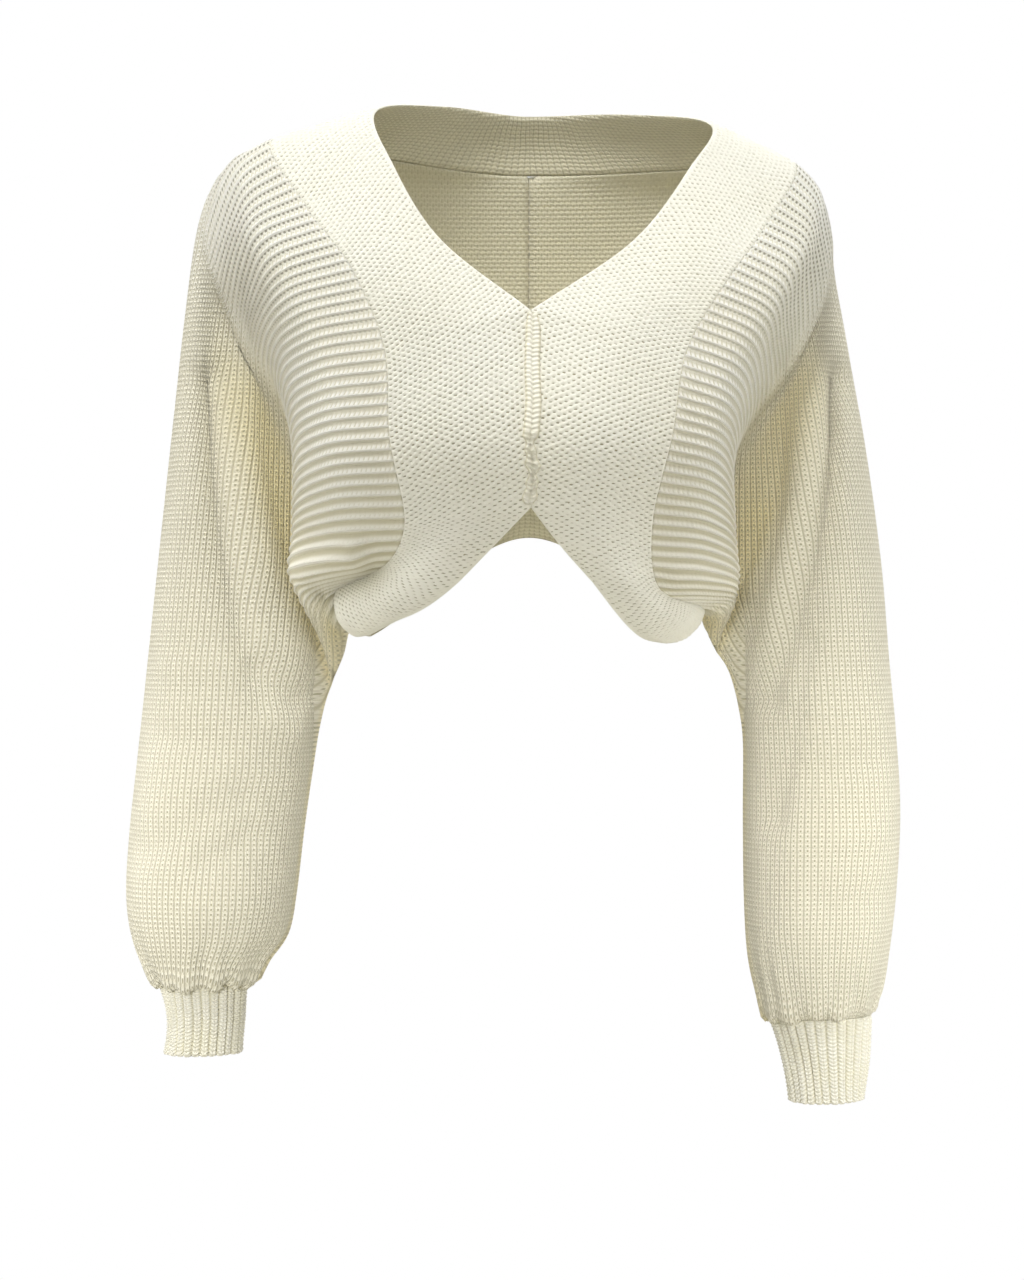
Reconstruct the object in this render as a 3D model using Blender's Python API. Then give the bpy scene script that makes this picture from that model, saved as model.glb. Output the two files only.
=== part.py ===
"""A cropped cuff-to-cuff shrug in chunky knit, holding the hollow form it has when it is worn.

The wearer faces -Y and their left is +X. The origin lies midway between the two points where the neck edge
crosses the shoulders, which is where the wearer holds the garment up.

Each half of the garment is one surface: rings that start at the seam with the wide front band, fan out over
the shoulder about the underarm, and run down the sleeve to the cuff. STATIONS name the places round each
ring. Every piece is a stretch of that surface, given the thickness of the knit.
"""

import math

import bmesh
import bpy
import numpy as np

WALL = 0.003
SEAM_GAP = 0.0003
STEPS_ROUND = 3      # spans between two stations of a ring
STEPS_BODY = 2       # spans between two rings of the body
BODY_RINGS = 4       # rings from the band's seam to the crease
STEPS_SLEEVE = 1
STEPS_BAND = 2
FOLD_STEPS = 4
PINCH = 0.6          # the share of its thickness that the knit loses where it folds under the arm
PINCH_REACH = 0.030
STRIP_THICK = 0.003  # the narrow strip over the join of the two fronts
STRIP_HALF_WIDTH = 0.0055
STRIP_FOOT_HALF_WIDTH = 0.0035
PANEL_AXIS = 0.06    # how far from the middle the upright line lies that the panel bulges away from
BAND_AXIS = 0.03     # and the band

# Places round a ring, from the shoulder down the front to the underarm and up the back. The angle is the
# place on a sleeve ring, from its outer side (0) to its inner side (180).
STATIONS = (
    # name, angle in degrees, side of the sleeve (-1 front, +1 back)
    ("shoulder", 0, -1),
    ("front_neck", 28, -1),
    ("front_chest", 52, -1),
    ("front_join_top", 75, -1),
    ("front_bust", 98, -1),
    ("front_join_foot", 120, -1),
    ("front_hem", 142, -1),
    ("side_hem", 162, -1),
    ("underarm", 180, -1),
    ("back_side", 155, 1),
    ("back_hem", 130, 1),
    ("back_foot", 105, 1),
    ("back_middle", 80, 1),
    ("back_top", 55, 1),
    ("back_neck", 28, 1),
)
NAMES = [name for name, angle, side in STATIONS]

# Where four lines pass each station: the free edge of the band, its seam, the fold where the ribbed side
# front turns back towards the sleeve, and the crease behind that fold. x is the distance from the middle.
# Where the two halves meet at the centre back there is no band, so the edge column holds nothing.
BODY = {
    "right": {
        "shoulder": ((0.106, 0.000, 0.003), (0.177, 0.000, -0.018), (0.205, 0.000, -0.033), (0.219, 0.000, -0.052)),
        "front_neck": ((0.093, -0.045, -0.040), (0.150, -0.058, -0.072), (0.199, -0.046, -0.084), (0.216, -0.027, -0.104)),
        "front_chest": ((0.060, -0.082, -0.095), (0.120, -0.094, -0.114), (0.184, -0.060, -0.132), (0.200, -0.025, -0.148)),
        "front_join_top": ((0.000, -0.110, -0.145), (0.096, -0.117, -0.170), (0.168, -0.062, -0.177), (0.174, -0.016, -0.200)),
        "front_bust": ((0.000, -0.133, -0.215), (0.092, -0.124, -0.230), (0.159, -0.058, -0.230), (0.155, -0.008, -0.250)),
        "front_join_foot": ((0.000, -0.136, -0.276), (0.083, -0.118, -0.285), (0.160, -0.056, -0.283), (0.143, -0.002, -0.298)),
        "front_hem": ((0.060, -0.114, -0.335), (0.100, -0.086, -0.315), (0.161, -0.050, -0.320), (0.140, -0.003, -0.336)),
        "side_hem": ((0.105, -0.060, -0.360), (0.132, -0.044, -0.330), (0.147, -0.028, -0.350), (0.141, -0.010, -0.368)),
        "underarm": ((0.112, 0.010, -0.362), (0.126, 0.010, -0.346), (0.131, 0.008, -0.374), (0.134, 0.006, -0.384)),
        "back_side": ((0.090, 0.070, -0.345), (0.104, 0.080, -0.305), (0.130, 0.066, -0.342), (0.141, 0.050, -0.362)),
        "back_hem": ((0.045, 0.095, -0.308), (0.052, 0.106, -0.260), (0.132, 0.084, -0.300), (0.152, 0.066, -0.326)),
        "back_foot": ((0.000, 0.100, -0.290), (0.000, 0.110, -0.240), (0.136, 0.090, -0.250), (0.163, 0.072, -0.274)),
        "back_middle": (None, (0.000, 0.112, -0.135), (0.142, 0.088, -0.165), (0.178, 0.070, -0.195)),
        "back_top": ((0.000, 0.080, 0.011), (0.000, 0.094, -0.030), (0.152, 0.068, -0.078), (0.190, 0.058, -0.115)),
        "back_neck": ((0.060, 0.052, 0.014), (0.104, 0.058, -0.022), (0.170, 0.042, -0.044), (0.202, 0.040, -0.075)),
    },
    "left": {
        "shoulder": ((0.124, 0.000, -0.006), (0.181, 0.000, -0.033), (0.199, 0.000, -0.055), (0.206, 0.000, -0.080)),
        "front_neck": ((0.108, -0.042, -0.042), (0.158, -0.058, -0.084), (0.192, -0.048, -0.100), (0.202, -0.029, -0.116)),
        "front_chest": ((0.068, -0.080, -0.096), (0.130, -0.094, -0.124), (0.172, -0.064, -0.150), (0.184, -0.026, -0.165)),
        "front_join_top": ((0.000, -0.110, -0.145), (0.102, -0.116, -0.172), (0.151, -0.067, -0.192), (0.157, -0.016, -0.212)),
        "front_bust": ((0.000, -0.133, -0.215), (0.092, -0.125, -0.228), (0.136, -0.064, -0.238), (0.134, -0.007, -0.256)),
        "front_join_foot": ((0.000, -0.136, -0.276), (0.080, -0.120, -0.283), (0.137, -0.062, -0.286), (0.125, -0.003, -0.298)),
        "front_hem": ((0.040, -0.124, -0.327), (0.084, -0.110, -0.326), (0.140, -0.058, -0.322), (0.126, -0.006, -0.334)),
        "side_hem": ((0.080, -0.092, -0.366), (0.114, -0.064, -0.338), (0.136, -0.032, -0.342), (0.132, -0.010, -0.355)),
        "underarm": ((0.106, 0.006, -0.360), (0.118, 0.008, -0.338), (0.123, 0.007, -0.356), (0.126, 0.005, -0.364)),
        "back_side": ((0.088, 0.068, -0.345), (0.100, 0.080, -0.305), (0.122, 0.068, -0.330), (0.134, 0.052, -0.346)),
        "back_hem": ((0.045, 0.095, -0.308), (0.052, 0.106, -0.260), (0.124, 0.086, -0.294), (0.142, 0.066, -0.316)),
        "back_foot": ((0.000, 0.100, -0.290), (0.000, 0.110, -0.240), (0.130, 0.090, -0.248), (0.154, 0.072, -0.272)),
        "back_middle": (None, (0.000, 0.112, -0.135), (0.138, 0.088, -0.168), (0.168, 0.070, -0.200)),
        "back_top": ((0.000, 0.080, 0.011), (0.000, 0.094, -0.030), (0.150, 0.066, -0.090), (0.180, 0.056, -0.128)),
        "back_neck": ((0.068, 0.050, 0.008), (0.110, 0.056, -0.030), (0.168, 0.042, -0.062), (0.194, 0.040, -0.096)),
    },
}

# How far the middle of the band, and of the panel beyond its seam, stands out from a straight line.
BULGE = {
    # station: (band, panel)
    "shoulder": (0.001, 0.002),
    "front_neck": (0.003, 0.010),
    "front_chest": (0.005, 0.014),
    "front_join_top": (0.008, 0.016),
    "front_bust": (0.008, 0.018),
    "front_join_foot": (0.006, 0.019),
    "front_hem": (0.010, 0.012),
    "side_hem": (0.008, 0.004),
    "underarm": (0.002, 0.002),
    "back_side": (0.004, 0.004),
    "back_hem": (0.004, 0.008),
    "back_foot": (0.004, 0.010),
    "back_middle": (0.004, 0.010),
    "back_top": (0.004, 0.010),
    "back_neck": (0.003, 0.006),
}

# The rings from the crease to the cuff. Outer and inner are the two sides of the sleeve as seen from the
# front; front and back are how far the cloth stands out before and behind the line between them. Lean is
# how much of the front fullness lies towards the outer side, away from the crease.
SLEEVE = {
    "right": (
        # outer_x, outer_z, inner_x, inner_z, front, back, lean
        (0.229, -0.082, 0.137, -0.392, 0.018, 0.064, 0.80),
        (0.237, -0.140, 0.139, -0.397, 0.034, 0.066, 0.60),
        (0.246, -0.221, 0.141, -0.403, 0.048, 0.067, 0.35),
        (0.256, -0.310, 0.143, -0.412, 0.056, 0.068, 0.15),
        (0.265, -0.385, 0.145, -0.426, 0.060, 0.068, 0.00),
        (0.272, -0.440, 0.148, -0.452, 0.062, 0.067, 0.00),
        (0.278, -0.495, 0.154, -0.494, 0.063, 0.065, 0.00),
        (0.279, -0.535, 0.160, -0.535, 0.060, 0.061, 0.00),
        (0.275, -0.565, 0.167, -0.565, 0.053, 0.054, 0.00),
        (0.266, -0.588, 0.182, -0.584, 0.041, 0.043, 0.00),
        (0.254, -0.600, 0.196, -0.596, 0.029, 0.030, 0.00),
    ),
    "left": (
        (0.209, -0.110, 0.129, -0.370, 0.023, 0.062, 0.60),
        (0.217, -0.155, 0.132, -0.374, 0.034, 0.064, 0.55),
        (0.230, -0.228, 0.136, -0.380, 0.046, 0.066, 0.35),
        (0.241, -0.308, 0.140, -0.390, 0.054, 0.067, 0.15),
        (0.247, -0.375, 0.144, -0.407, 0.059, 0.067, 0.00),
        (0.252, -0.425, 0.147, -0.432, 0.062, 0.066, 0.00),
        (0.255, -0.480, 0.147, -0.482, 0.063, 0.065, 0.00),
        (0.252, -0.535, 0.148, -0.538, 0.061, 0.062, 0.00),
        (0.247, -0.578, 0.151, -0.580, 0.055, 0.056, 0.00),
        (0.242, -0.606, 0.158, -0.608, 0.043, 0.045, 0.00),
        (0.235, -0.620, 0.167, -0.622, 0.031, 0.032, 0.00),
    ),
}

CUFF = {
    "right": (
        # outer_x, outer_z, inner_x, inner_z, front, back, lean
        (0.253, -0.625, 0.195, -0.622, 0.030, 0.030, 0.00),
        (0.251, -0.647, 0.200, -0.646, 0.028, 0.028, 0.00),
    ),
    "left": (
        (0.234, -0.650, 0.172, -0.650, 0.031, 0.031, 0.00),
        (0.229, -0.678, 0.181, -0.680, 0.028, 0.028, 0.00),
    ),
}

# The largest folds: soft troughs (depth below 0) and ridges along a path down the front or the back of a
# sleeve. x is the distance from the middle.
FOLDS = (
    # side, face, start x, z, middle x, z, end x, z, width, depth
    ("right", -1, 0.221, -0.187, 0.207, -0.300, 0.183, -0.403, 0.011, -0.007),
    ("right", -1, 0.262, -0.505, 0.235, -0.490, 0.196, -0.470, 0.014, -0.004),
    ("left", -1, 0.211, -0.185, 0.197, -0.280, 0.160, -0.402, 0.010, -0.009),
    ("left", -1, 0.190, -0.365, 0.178, -0.425, 0.168, -0.482, 0.009, -0.005),
    ("right", 1, 0.200, -0.150, 0.182, -0.270, 0.176, -0.380, 0.014, -0.008),
    ("left", 1, 0.186, -0.160, 0.170, -0.270, 0.166, -0.370, 0.014, -0.008),
    ("right", 1, 0.240, -0.450, 0.222, -0.480, 0.196, -0.500, 0.013, -0.004),
    ("left", 1, 0.226, -0.430, 0.205, -0.470, 0.180, -0.490, 0.013, -0.004),
)

SIGN = {"right": -1.0, "left": 1.0}
BAND_START = NAMES.index("back_top")
BAND_END = NAMES.index("back_foot")


def catmull_rom(points, steps, before=None, after=None):
    """Points on the smooth curve through rows of points. steps is the spans between each two rows, or a
    list of them. before and after are the points that the curve would come from and go on to."""
    points = np.asarray(points, float)
    spans = len(points) - 1
    if isinstance(steps, int):
        steps = [steps] * spans
    before = 2 * points[0] - points[1] if before is None else before
    after = 2 * points[-1] - points[-2] if after is None else after
    whole = np.concatenate([[before], points, [after]])
    out = []
    for i in range(spans):
        a, b, c, d = whole[i:i + 4]
        for k in range(steps[i]):
            t = k / steps[i]
            out.append(
                b
                + 0.5 * t * (c - a)
                + t * t * (a - 2.5 * b + 2 * c - 0.5 * d)
                + t ** 3 * (1.5 * (b - c) + 0.5 * (d - a))
            )
    out.append(points[-1])
    return np.array(out)


def closed_ring(points):
    """A ring through the stations, smooth all round."""
    turned = np.concatenate([points, points[:1]])
    return catmull_rom(turned, STEPS_ROUND, before=points[-1], after=points[1])[:-1]


def mirrored(point, sign):
    return np.array((point[0] * sign, point[1], point[2]))


def column(side, index):
    """One line of the BODY table, as points in the order of STATIONS."""
    sign = SIGN[side]
    return np.array([mirrored(BODY[side][name][index], sign) for name in NAMES])


def bulged(first, second, side, kind):
    """The points midway between two lines, moved out from the wearer's middle."""
    middle = (first + second) / 2
    axis = np.array((PANEL_AXIS * SIGN[side], 0.0, 0.0))
    away = middle - axis
    away[:, 2] = 0
    away /= np.linalg.norm(away, axis=1)[:, None]
    amount = np.array([BULGE[name][kind] for name in NAMES])
    return middle + away * amount[:, None]


def sleeve_ring(row, side):
    """One ring of the sleeve, through the stations."""
    outer_x, outer_z, inner_x, inner_z, front, back, lean = row
    outer = np.array((outer_x, 0.0, outer_z))
    inner = np.array((inner_x, 0.0, inner_z))
    points = []
    for name, angle, face in STATIONS:
        turn = math.radians(angle)
        point = (outer + inner) / 2 + (outer - inner) / 2 * math.cos(turn)
        depth = front * (1 + lean * math.cos(turn)) if face < 0 else back
        point[1] = face * depth * math.sin(turn)
        points.append(mirrored(point, SIGN[side]))
    return np.array(points)


def keep_off_middle(points, side):
    """The two halves stay half a seam gap either side of the middle."""
    limit = SEAM_GAP / 2
    points[..., 0] = SIGN[side] * np.maximum(points[..., 0] * SIGN[side], limit)
    return points


def reflected(point):
    return point * (-1.0, 1.0, 1.0)


def seam_ring(side):
    """The ring at the band's seam. It has corners where it meets the straight join at the centre back."""
    points = column(side, 1)
    arc = points[band_order()]
    arc = catmull_rom(arc, STEPS_ROUND, before=reflected(arc[1]), after=reflected(arc[-2]))
    straight = catmull_rom(points[BAND_END:BAND_START + 1], STEPS_ROUND)
    lead = (len(NAMES) - BAND_START) * STEPS_ROUND
    return np.concatenate([arc[lead:], straight[1:-1], arc[:lead]])


def edge_line(side):
    """The band's free edge, with corners at the top and the foot of the centre front join."""
    order = band_order()
    top, foot = (order.index(NAMES.index(name)) for name in ("front_join_top", "front_join_foot"))
    points = np.array([mirrored(BODY[side][NAMES[i]][0], SIGN[side]) for i in order])
    neck = catmull_rom(points[:top + 1], STEPS_ROUND, before=reflected(points[1]))
    join = catmull_rom(points[top:foot + 1], STEPS_ROUND)
    hem = catmull_rom(points[foot:], STEPS_ROUND, after=reflected(points[-2]))
    return np.concatenate([neck[:-1], join[:-1], hem])


def main_rows(side):
    """The grid of one main half: rows from the band's seam to the top of the cuff, each row a closed ring."""
    seam, fold, crease = (column(side, index) for index in (1, 2, 3))
    rings = [bulged(seam, fold, side, 1), fold, crease]
    rings += [sleeve_ring(row, side) for row in SLEEVE[side]]
    rings = [seam_ring(side)] + [closed_ring(ring) for ring in rings]
    steps = [STEPS_BODY] * BODY_RINGS + [STEPS_SLEEVE] * (len(rings) - 1 - BODY_RINGS)
    return folded(catmull_rom(np.array(rings), steps), side)


def cuff_rows(side):
    rows = [SLEEVE[side][-1], *CUFF[side]]
    return np.array([closed_ring(sleeve_ring(row, side)) for row in rows])


def band_order():
    """The stations that the band passes, from the centre back of the neck round to that of the hem."""
    count = len(NAMES)
    order = [BAND_START]
    while order[-1] != BAND_END:
        order.append((order[-1] + 1) % count)
    return order


def band_span(columns):
    """The places in a main half's first row that the band is sewn to."""
    length = (len(band_order()) - 1) * STEPS_ROUND + 1
    return (np.arange(length) + BAND_START * STEPS_ROUND) % columns


def band_rows(side, main):
    """The grid of the whole band on one side: rows from its free edge to its seam with the main half."""
    edge = edge_line(side)
    seam = main[0][band_span(main.shape[1])]
    amount = np.array([[BULGE[NAMES[i]][0]] for i in band_order()])
    amount = catmull_rom(amount, STEPS_ROUND)
    middle = (edge + seam) / 2
    away = middle - np.array((BAND_AXIS * SIGN[side], 0.0, 0.0))
    away[:, 2] = 0
    middle = middle + unit(away) * amount
    return catmull_rom(np.array([edge, middle, seam]), STEPS_BAND)


def normals_of(grid, closed, sign):
    """Unit normals of a grid of points, facing out of the garment."""
    along = np.gradient(grid, axis=0)
    if closed:
        round_ = (np.roll(grid, -1, axis=1) - np.roll(grid, 1, axis=1)) / 2
    else:
        round_ = np.gradient(grid, axis=1)
    normals = np.cross(along, round_) * -sign
    lengths = np.linalg.norm(normals, axis=2)[..., None]
    return normals / np.maximum(lengths, 1e-12)


def distance_to_path(points, path):
    """How far each point lies from a path of straight stretches, in plan."""
    nearest = np.full(points.shape[:-1], np.inf)
    for start, end in zip(path[:-1], path[1:]):
        run = end - start
        place = np.clip((points - start) @ run / (run @ run), 0, 1)
        gap = np.linalg.norm(points - start - place[..., None] * run, axis=-1)
        nearest = np.minimum(nearest, gap)
    return nearest


def folded(grid, side):
    """The grid with the folds of its side pressed in."""
    normals = normals_of(grid, True, SIGN[side])
    shift = np.zeros(grid.shape[:2])
    for fold_side, face, x0, z0, x1, z1, x2, z2, width, depth in FOLDS:
        if fold_side != side:
            continue
        path = np.array(((x0, z0), (x1, z1), (x2, z2)))
        path = catmull_rom(path, FOLD_STEPS)
        seen = np.stack([grid[..., 0] * SIGN[side], grid[..., 2]], axis=-1)
        gap = distance_to_path(seen, path)
        facing = np.clip(normals[..., 1] * face * 2, 0, 1)
        shift += depth * facing * np.exp(-((gap / width) ** 2))
    shift[0] = 0
    return grid + normals * shift[..., None]


def unit(vectors):
    return vectors / np.maximum(np.linalg.norm(vectors, axis=-1)[..., None], 1e-12)


def drawn_in(grid, first=False, last=False):
    """The grid with its first or last row drawn back from a seam by half the seam gap."""
    grid = grid.copy()
    if first:
        grid[0] = grid[0] + unit(grid[1] - grid[0]) * SEAM_GAP / 2
    if last:
        grid[-1] = grid[-1] + unit(grid[-2] - grid[-1]) * SEAM_GAP / 2
    return grid


def across(grid):
    return grid.swapaxes(0, 1)


def pinch(grid, side):
    """How thick the knit is at each point, as a share of its full thickness: it is squeezed thin where it
    folds tightly under the arm."""
    under = mirrored(BODY[side]["underarm"][3], SIGN[side])
    gap = np.linalg.norm(grid - under, axis=-1)
    return 1 - PINCH * np.exp(-((gap / PINCH_REACH) ** 2))


def flat_at_middle(grid, normals):
    """Unit normals that face straight forward or back on the garment's middle line."""
    normals = normals.copy()
    normals[np.abs(grid[..., 0]) < 1e-6, 0] = 0
    return unit(normals)


def band_place(name):
    """The column of a band's grid at a station."""
    return band_order().index(NAMES.index(name)) * STEPS_ROUND


def front_strip(bands, finish):
    """The narrow strip over the centre front join, lying on the two bands."""
    lines = []
    top, foot = band_place("front_join_top"), band_place("front_join_foot")
    fractions = np.linspace(0, 1, foot - top + 1)[1:-1]
    half_widths = STRIP_HALF_WIDTH + (STRIP_FOOT_HALF_WIDTH - STRIP_HALF_WIDTH) * fractions
    for side in ("right", "left"):
        band, normals = bands[side]
        inner, outer = band[0, top + 1:foot], band[1, top + 1:foot]
        share = (half_widths / np.linalg.norm(outer - inner, axis=1))[:, None]
        normal = normals[0, top + 1:foot]
        lines.append((inner + (outer - inner) * share, normal))
    middle = bands["left"][0][0, top + 1:foot]
    normal = bands["left"][1][0, top + 1:foot]
    grid = np.array([lines[0][0], middle, lines[1][0]])
    normals = np.array([lines[0][1], normal, lines[1][1]])
    lift = (WALL + STRIP_THICK) / 2 + SEAM_GAP
    wall("centre_front_strip", grid + normals * lift, normals, False, finish, thick=STRIP_THICK)


def material(name, color, roughness):
    made = bpy.data.materials.new(name)
    made.use_nodes = True
    shader = made.node_tree.nodes["Principled BSDF"]
    shader.inputs["Base Color"].default_value = (*color, 1.0)
    shader.inputs["Roughness"].default_value = roughness
    shader.inputs["Metallic"].default_value = 0.0
    return made


def wall(name, grid, normals, closed, finish, middle=None, thick=WALL):
    """A closed solid: the grid's surface with its thickness, half of it to each side."""
    half = normals * thick / 2
    if middle:
        half = half * pinch(grid, middle)[..., None]
    outer = grid + half
    inner = grid - half
    if middle:
        outer = keep_off_middle(outer, middle)
        inner = keep_off_middle(inner, middle)
    rows, columns = grid.shape[:2]
    mesh = bmesh.new()
    skins = [[[mesh.verts.new(point) for point in row] for row in skin] for skin in (outer, inner)]
    last = columns if closed else columns - 1
    for i in range(rows - 1):
        for j in range(last):
            k = (j + 1) % columns
            for skin, turn in zip(skins, (1, -1)):
                corners = (skin[i][j], skin[i][k], skin[i + 1][k], skin[i + 1][j])
                mesh.faces.new(corners[::turn])
    for i, turn in ((0, -1), (rows - 1, 1)):
        for j in range(last):
            k = (j + 1) % columns
            corners = (skins[0][i][j], skins[0][i][k], skins[1][i][k], skins[1][i][j])
            mesh.faces.new(corners[::turn])
    if not closed:
        for j, turn in ((0, 1), (columns - 1, -1)):
            for i in range(rows - 1):
                corners = (skins[0][i][j], skins[0][i + 1][j], skins[1][i + 1][j], skins[1][i][j])
                mesh.faces.new(corners[::turn])
    bmesh.ops.triangulate(mesh, faces=mesh.faces)
    if mesh.calc_volume(signed=True) < 0:
        bmesh.ops.reverse_faces(mesh, faces=mesh.faces)
    data = bpy.data.meshes.new(name)
    mesh.to_mesh(data)
    mesh.free()
    data.materials.append(finish)
    data.shade_smooth()
    data.set_sharp_from_angle(angle=math.radians(50))
    made = bpy.data.objects.new(name, data)
    bpy.context.scene.collection.objects.link(made)
    return made


def build():
    for old in list(bpy.data.objects):
        bpy.data.objects.remove(old, do_unlink=True)

    main_knit = material("main_knit", (0.84, 0.80, 0.66), 0.9)
    band_knit = material("band_knit", (0.88, 0.86, 0.77), 0.9)
    cuff_knit = material("cuff_knit", (0.85, 0.81, 0.68), 0.9)

    bands = {}
    for side, sign in SIGN.items():
        main = main_rows(side)
        band = band_rows(side, main)
        main_normals = normals_of(main, True, sign)
        band_normals = normals_of(band, False, sign)
        span = band_span(main.shape[1])
        shared = main_normals[0][span] + band_normals[-1]
        main_normals[0][span] = shared
        band_normals[-1] = shared
        main_normals = flat_at_middle(main, main_normals)
        band_normals = flat_at_middle(band, band_normals)
        bands[side] = (band, band_normals)

        cuff = cuff_rows(side)
        cuff_normals = normals_of(cuff, True, sign)
        shared = unit(main_normals[-1] + cuff_normals[0])
        main_normals[-1] = shared
        cuff_normals[0] = shared

        half = drawn_in(main, first=True, last=True)
        wall("dolman_" + side, half, main_normals, True, main_knit, middle=side)
        wall("cuff_" + side, drawn_in(cuff, first=True), cuff_normals, True, cuff_knit)

        shoulder, underarm = band_place("shoulder"), band_place("underarm")
        front = drawn_in(band[:, shoulder:underarm + 1], last=True)
        front = across(drawn_in(across(front), first=True, last=True))
        front_normals = band_normals[:, shoulder:underarm + 1]
        wall("front_band_" + side, front, front_normals, False, band_knit, middle=side)

    to_shoulder = slice(0, band_place("shoulder") + 1)
    from_underarm = slice(band_place("underarm"), None)
    for name, stretch, turn in (("neck_band", to_shoulder, -1), ("hem_band", from_underarm, 1)):
        grid, normals = (
            np.concatenate(
                [bands["right"][k][:, stretch][:, ::turn], bands["left"][k][:, stretch][:, ::-turn][:, 1:]],
                axis=1,
            )
            for k in (0, 1)
        )
        grid = drawn_in(grid, last=True)
        grid = across(drawn_in(across(grid), first=True, last=True))
        wall(name, grid, normals, False, band_knit)
    front_strip(bands, band_knit)


build()
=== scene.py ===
"""The looks of the cropped knitted shrug.

Each piece is a thin closed shell of knit on the form of its solid in the frame. It is built from the same
sections as the solid, finely enough to carry the knit's own relief: the ribs of the side fronts, the back
and the cuffs, and the moss stitch of the wide band. The wales and the single stitches are procedural bump.

The wearer faces -Y and their left is +X.
"""

import math
from functools import partial

import bpy
import numpy as np
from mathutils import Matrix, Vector


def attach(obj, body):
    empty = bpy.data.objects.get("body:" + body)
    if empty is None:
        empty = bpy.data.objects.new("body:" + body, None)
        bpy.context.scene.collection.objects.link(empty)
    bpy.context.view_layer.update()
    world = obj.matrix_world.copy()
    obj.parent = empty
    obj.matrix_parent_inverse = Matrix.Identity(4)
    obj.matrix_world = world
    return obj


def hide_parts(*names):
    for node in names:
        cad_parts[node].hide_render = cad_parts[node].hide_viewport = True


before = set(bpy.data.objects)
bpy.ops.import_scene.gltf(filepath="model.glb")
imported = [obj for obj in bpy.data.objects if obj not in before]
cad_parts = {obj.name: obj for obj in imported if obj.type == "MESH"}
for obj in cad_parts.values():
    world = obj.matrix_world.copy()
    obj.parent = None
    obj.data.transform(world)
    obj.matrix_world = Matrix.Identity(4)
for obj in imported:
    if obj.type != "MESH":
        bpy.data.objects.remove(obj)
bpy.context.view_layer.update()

# The tables are in millimetres, and x is the distance from the middle of the garment.

# Places round a ring, from the shoulder down the front to the underarm and up the back. The angle is the
# place on a sleeve ring, from its outer side (0) to its inner side (180). The bulges are how far the middle
# of the band, and of the panel beyond its seam, stands out from a straight line.
STATIONS = (
    # name, angle in degrees, side of the sleeve (-1 front, +1 back), bulge of the band, of the panel
    ("shoulder", 0, -1, 1, 2),
    ("front_neck", 28, -1, 3, 10),
    ("front_chest", 52, -1, 5, 14),
    ("front_join_top", 75, -1, 8, 16),
    ("front_bust", 98, -1, 8, 18),
    ("front_join_foot", 120, -1, 6, 19),
    ("front_hem", 142, -1, 10, 12),
    ("side_hem", 162, -1, 8, 4),
    ("underarm", 180, -1, 2, 2),
    ("back_side", 155, 1, 4, 4),
    ("back_hem", 130, 1, 4, 8),
    ("back_foot", 105, 1, 4, 10),
    ("back_middle", 80, 1, 4, 10),
    ("back_top", 55, 1, 4, 10),
    ("back_neck", 28, 1, 3, 6),
)
NAMES = [name for name, *rest in STATIONS]

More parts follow.
